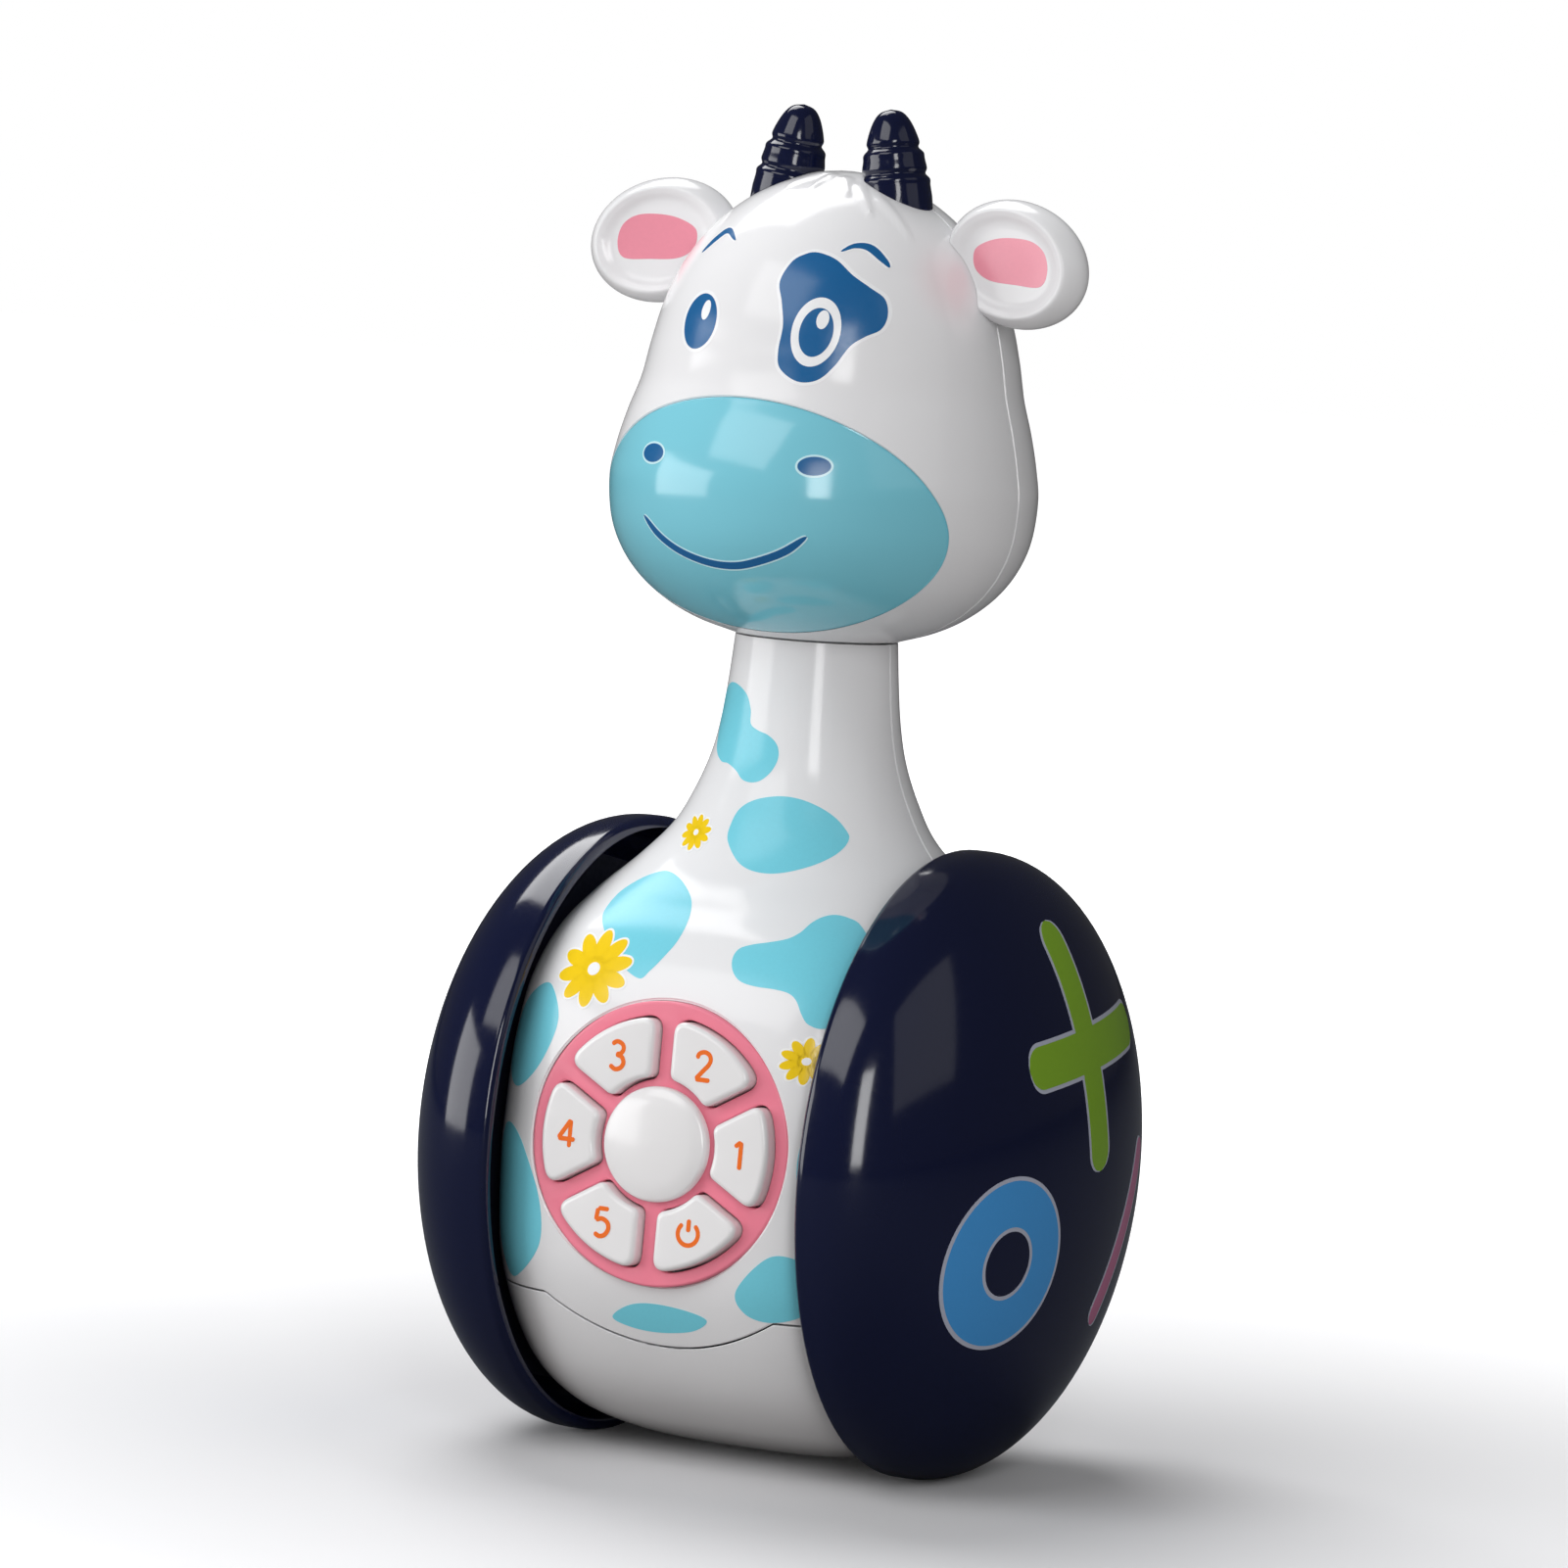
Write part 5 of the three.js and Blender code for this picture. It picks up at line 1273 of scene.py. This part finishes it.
# Signs on the wheels, by places across and up as seen from the right, and as mirrored on the left
PLUS_LINES = [((-2.7, 90.5), (3.9, 51.6)), ((-18.1, 68.6), (24, 73.4))]
PLUS_WIDTH = 6.6
RING_MIDDLE = (-22.0, 39.0)
RING_RADIUS = 9.45
RING_WIDTH = 7.3
BAR_LINE = ((27.4, 54.3), (11.5, 25.9))
BAR_WIDTH = 4.6
SIGN_RIM = 0.65


def make_wheel_prints(side, label):
    surface, mirror, body = partial(dome_surface, side), (side, 1), f"wheel_{label}"
    rims, plus = [], []
    for k, line in enumerate(PLUS_LINES):
        points, widths = pen(np.array(line) * mirror, PLUS_WIDTH, 90)
        rims.append(stroke(points, widths + SIGN_RIM, surface, 1 + 0.5 * k))
        plus.append(stroke(points, widths, surface, 3 + k))
    circle = ellipse(*np.array(RING_MIDDLE) * mirror, RING_RADIUS, RING_RADIUS, count=120)
    ring_rim, ring = rimmed_line(circle, RING_WIDTH / 2, SIGN_RIM, surface, closed=True, across=10)
    bar_rim, bar = rimmed_line(*pen(np.array(BAR_LINE) * mirror, BAR_WIDTH, 90), SIGN_RIM, surface)
    make_print(f"print_sign_rims_{label}", [*rims, ring_rim, bar_rim], decal_grey_ink, body)
    make_print(f"print_plus_{label}", plus, green_ink, body)
    make_print(f"print_ring_{label}", [ring], decal_blue_ink, body)
    make_print(f"print_bar_{label}", [bar], decal_pink_ink, body)


# Plain numbers as pen strokes, in hundredths of their height
DIGITS = {
    1: [[(-20, 30), (5, 50)], [(5, 50), (5, -50)]],
    2: [[(-27, 24), (-20, 42), (0, 50), (20, 42), (27, 24), (20, 5), (0, -18), (-28, -50)],
        [(-28, -50), (30, -50)]],
    3: [[(-25, 38), (-5, 50), (17, 42), (23, 25), (14, 9), (-6, 3)],
        [(-6, 3), (18, -4), (27, -24), (17, -43), (-5, -50), (-28, -37)]],
    4: [[(12, -50), (12, 50)], [(12, 50), (-34, -20)], [(-34, -20), (34, -20)]],
    5: [[(24, 50), (-20, 50)], [(-20, 50), (-25, 6)],
        [(-25, 6), (-2, 14), (22, 2), (28, -20), (16, -42), (-6, -50), (-28, -40)]],
}
DIGIT_HEIGHT = 4.3
POWER_BUTTON = 6
POWER_RADIUS = 1.75
POWER_BAR = [(0, 0.3), (0, 2.3)]
PEN_WIDTH = 0.72


def make_button_print(number):
    """A plain number on a button, or the round sign for power on the last one."""
    reach = (PAD_RADIUS - PAD_RIM + CAP_RADIUS + CAP_MARGIN) / 2
    middle = reach * arc(1, (number - 1) * 360 / BUTTON_COUNT)[0]
    if number == POWER_BUTTON:
        lines = [POWER_RADIUS * arc(40, 125, 415), np.array(POWER_BAR)]
    else:
        lines = [DIGIT_HEIGHT / 100 * np.array(line) for line in DIGITS[number]]
    films = [stroke(*pen(middle + line, PEN_WIDTH, 80), pad_surface, k) for k, line in enumerate(lines, 1)]
    make_print(f"print_button_{number}", films, orange_ink, f"button_{number}")


# Inner pieces that keep their solids
INNER_FINISHES = {
    inner: ["axle_bush_left", "axle_bush_right", "neck_collar", "battery_tray"],
    hub_dark: ["wheel_hub_left", "wheel_hub_right"],
    steel: ["axle", "axle_cap_left", "axle_cap_right", "battery_contact_left", "battery_contact_right"],
    casting: ["counterweight"],
    sleeve: ["battery_1", "battery_2", "battery_3"],
    rubber: ["button_mat"],
    board_green: ["circuit_board"],
    cone_black: ["speaker"],
}


def finish_inner_pieces():
    for material, names in INNER_FINISHES.items():
        for name in names:
            paint(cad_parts[name].data, material)


# Stage, light and camera

def make_stage():
    """A wide pale floor that fades to the white surround; the camera sees it darker near the toy, as a
    painted shadow.
    """
    floor = make("floor", FLOOR_REACH * columns(*SQUARE.T, 0), [(0, 1, 2, 3)])
    surface = Surface("floor_paper")
    paper = surface.mix(surface.noise(*FIBRE), linear(PAPER, PAPER_TONE), linear(PAPER))
    unseen = surface.mix(surface.ray("Glossy"), linear(PAPER_IN_LIGHT), linear(PAPER_IN_GLOSS))
    # Painted shadow: for the camera the paper is lifted to white only away from the toy, so it stays darker
    # round it.
    away = surface.add("VectorMath", "Value", {0: surface.place}, operation="LENGTH")
    factors = {0: surface.ray("Camera"), 1: surface.spread(away, 0, PAPER_GLOW, *PAINTED_SHADOW_REACH)}
    surface.feed(surface.shader, {
        "Base Color": surface.mix(surface.ray("Camera"), unseen, paper),
        "Emission Color": (1, 1, 1, 1),
        "Emission Strength": surface.add("Math", "Value", factors, operation="MULTIPLY"),
        "Roughness": 0.85,
        "Specular IOR Level": 0.1,
    })
    paint(floor.data, surface.material)


def make_light():
    """Soft boxes and strips round the toy, placed as the camera sees them, and a dim even surround."""
    for name, (place, size, power) in LIGHTS.items():
        data = bpy.data.lights.new(name, "AREA")
        data.shape = "RECTANGLE"
        data.size, data.size_y = size
        data.energy = power
        lamp = add_object(name, data)
        lamp.location = Matrix.Rotation(CAMERA_AZIMUTH, 3, "Z") @ Vector(place)
        lamp.rotation_euler = (Vector(LIGHTS_AIM) - lamp.location).to_track_quat("-Z", "Y").to_euler()
    world = bpy.data.worlds.new("studio")
    bpy.context.scene.world = world
    nodes = Nodes(world, "Background")
    strength = nodes.mix(nodes.ray("Glossy"), SURROUND, SURROUND_IN_GLOSS, "FLOAT")
    strength = nodes.mix(nodes.ray("Camera"), strength, SURROUND_SEEN, "FLOAT")
    nodes.feed(nodes.shader, {"Color": (1, 1, 1, 1), "Strength": strength})


def make_camera():
    data = bpy.data.cameras.new("camera")
    data.sensor_width = SENSOR
    data.lens = FOCAL_PIXELS / FRAME_PIXELS * SENSOR
    camera = add_object("camera", data)
    turns = (CAMERA_AZIMUTH, "Z"), (pi / 2 - CAMERA_ELEVATION, "X"), (CAMERA_ROLL, "Z")
    camera.matrix_world = placed(Vector(CAMERA_PLACE) * MM, *turns)
    bpy.context.scene.camera = camera


make_camera()
make_stage()
make_light()
make_body()
make_head()
make_ears()
make_horns()
make_wheels()
make_pad()
make_body_prints()
make_face_prints()
for side, label in HANDS:
    make_wheel_prints(side, label)
for number in range(1, BUTTON_COUNT + 1):
    make_button_print(number)
finish_inner_pieces()
bpy.context.scene.view_settings.view_transform = "Standard"
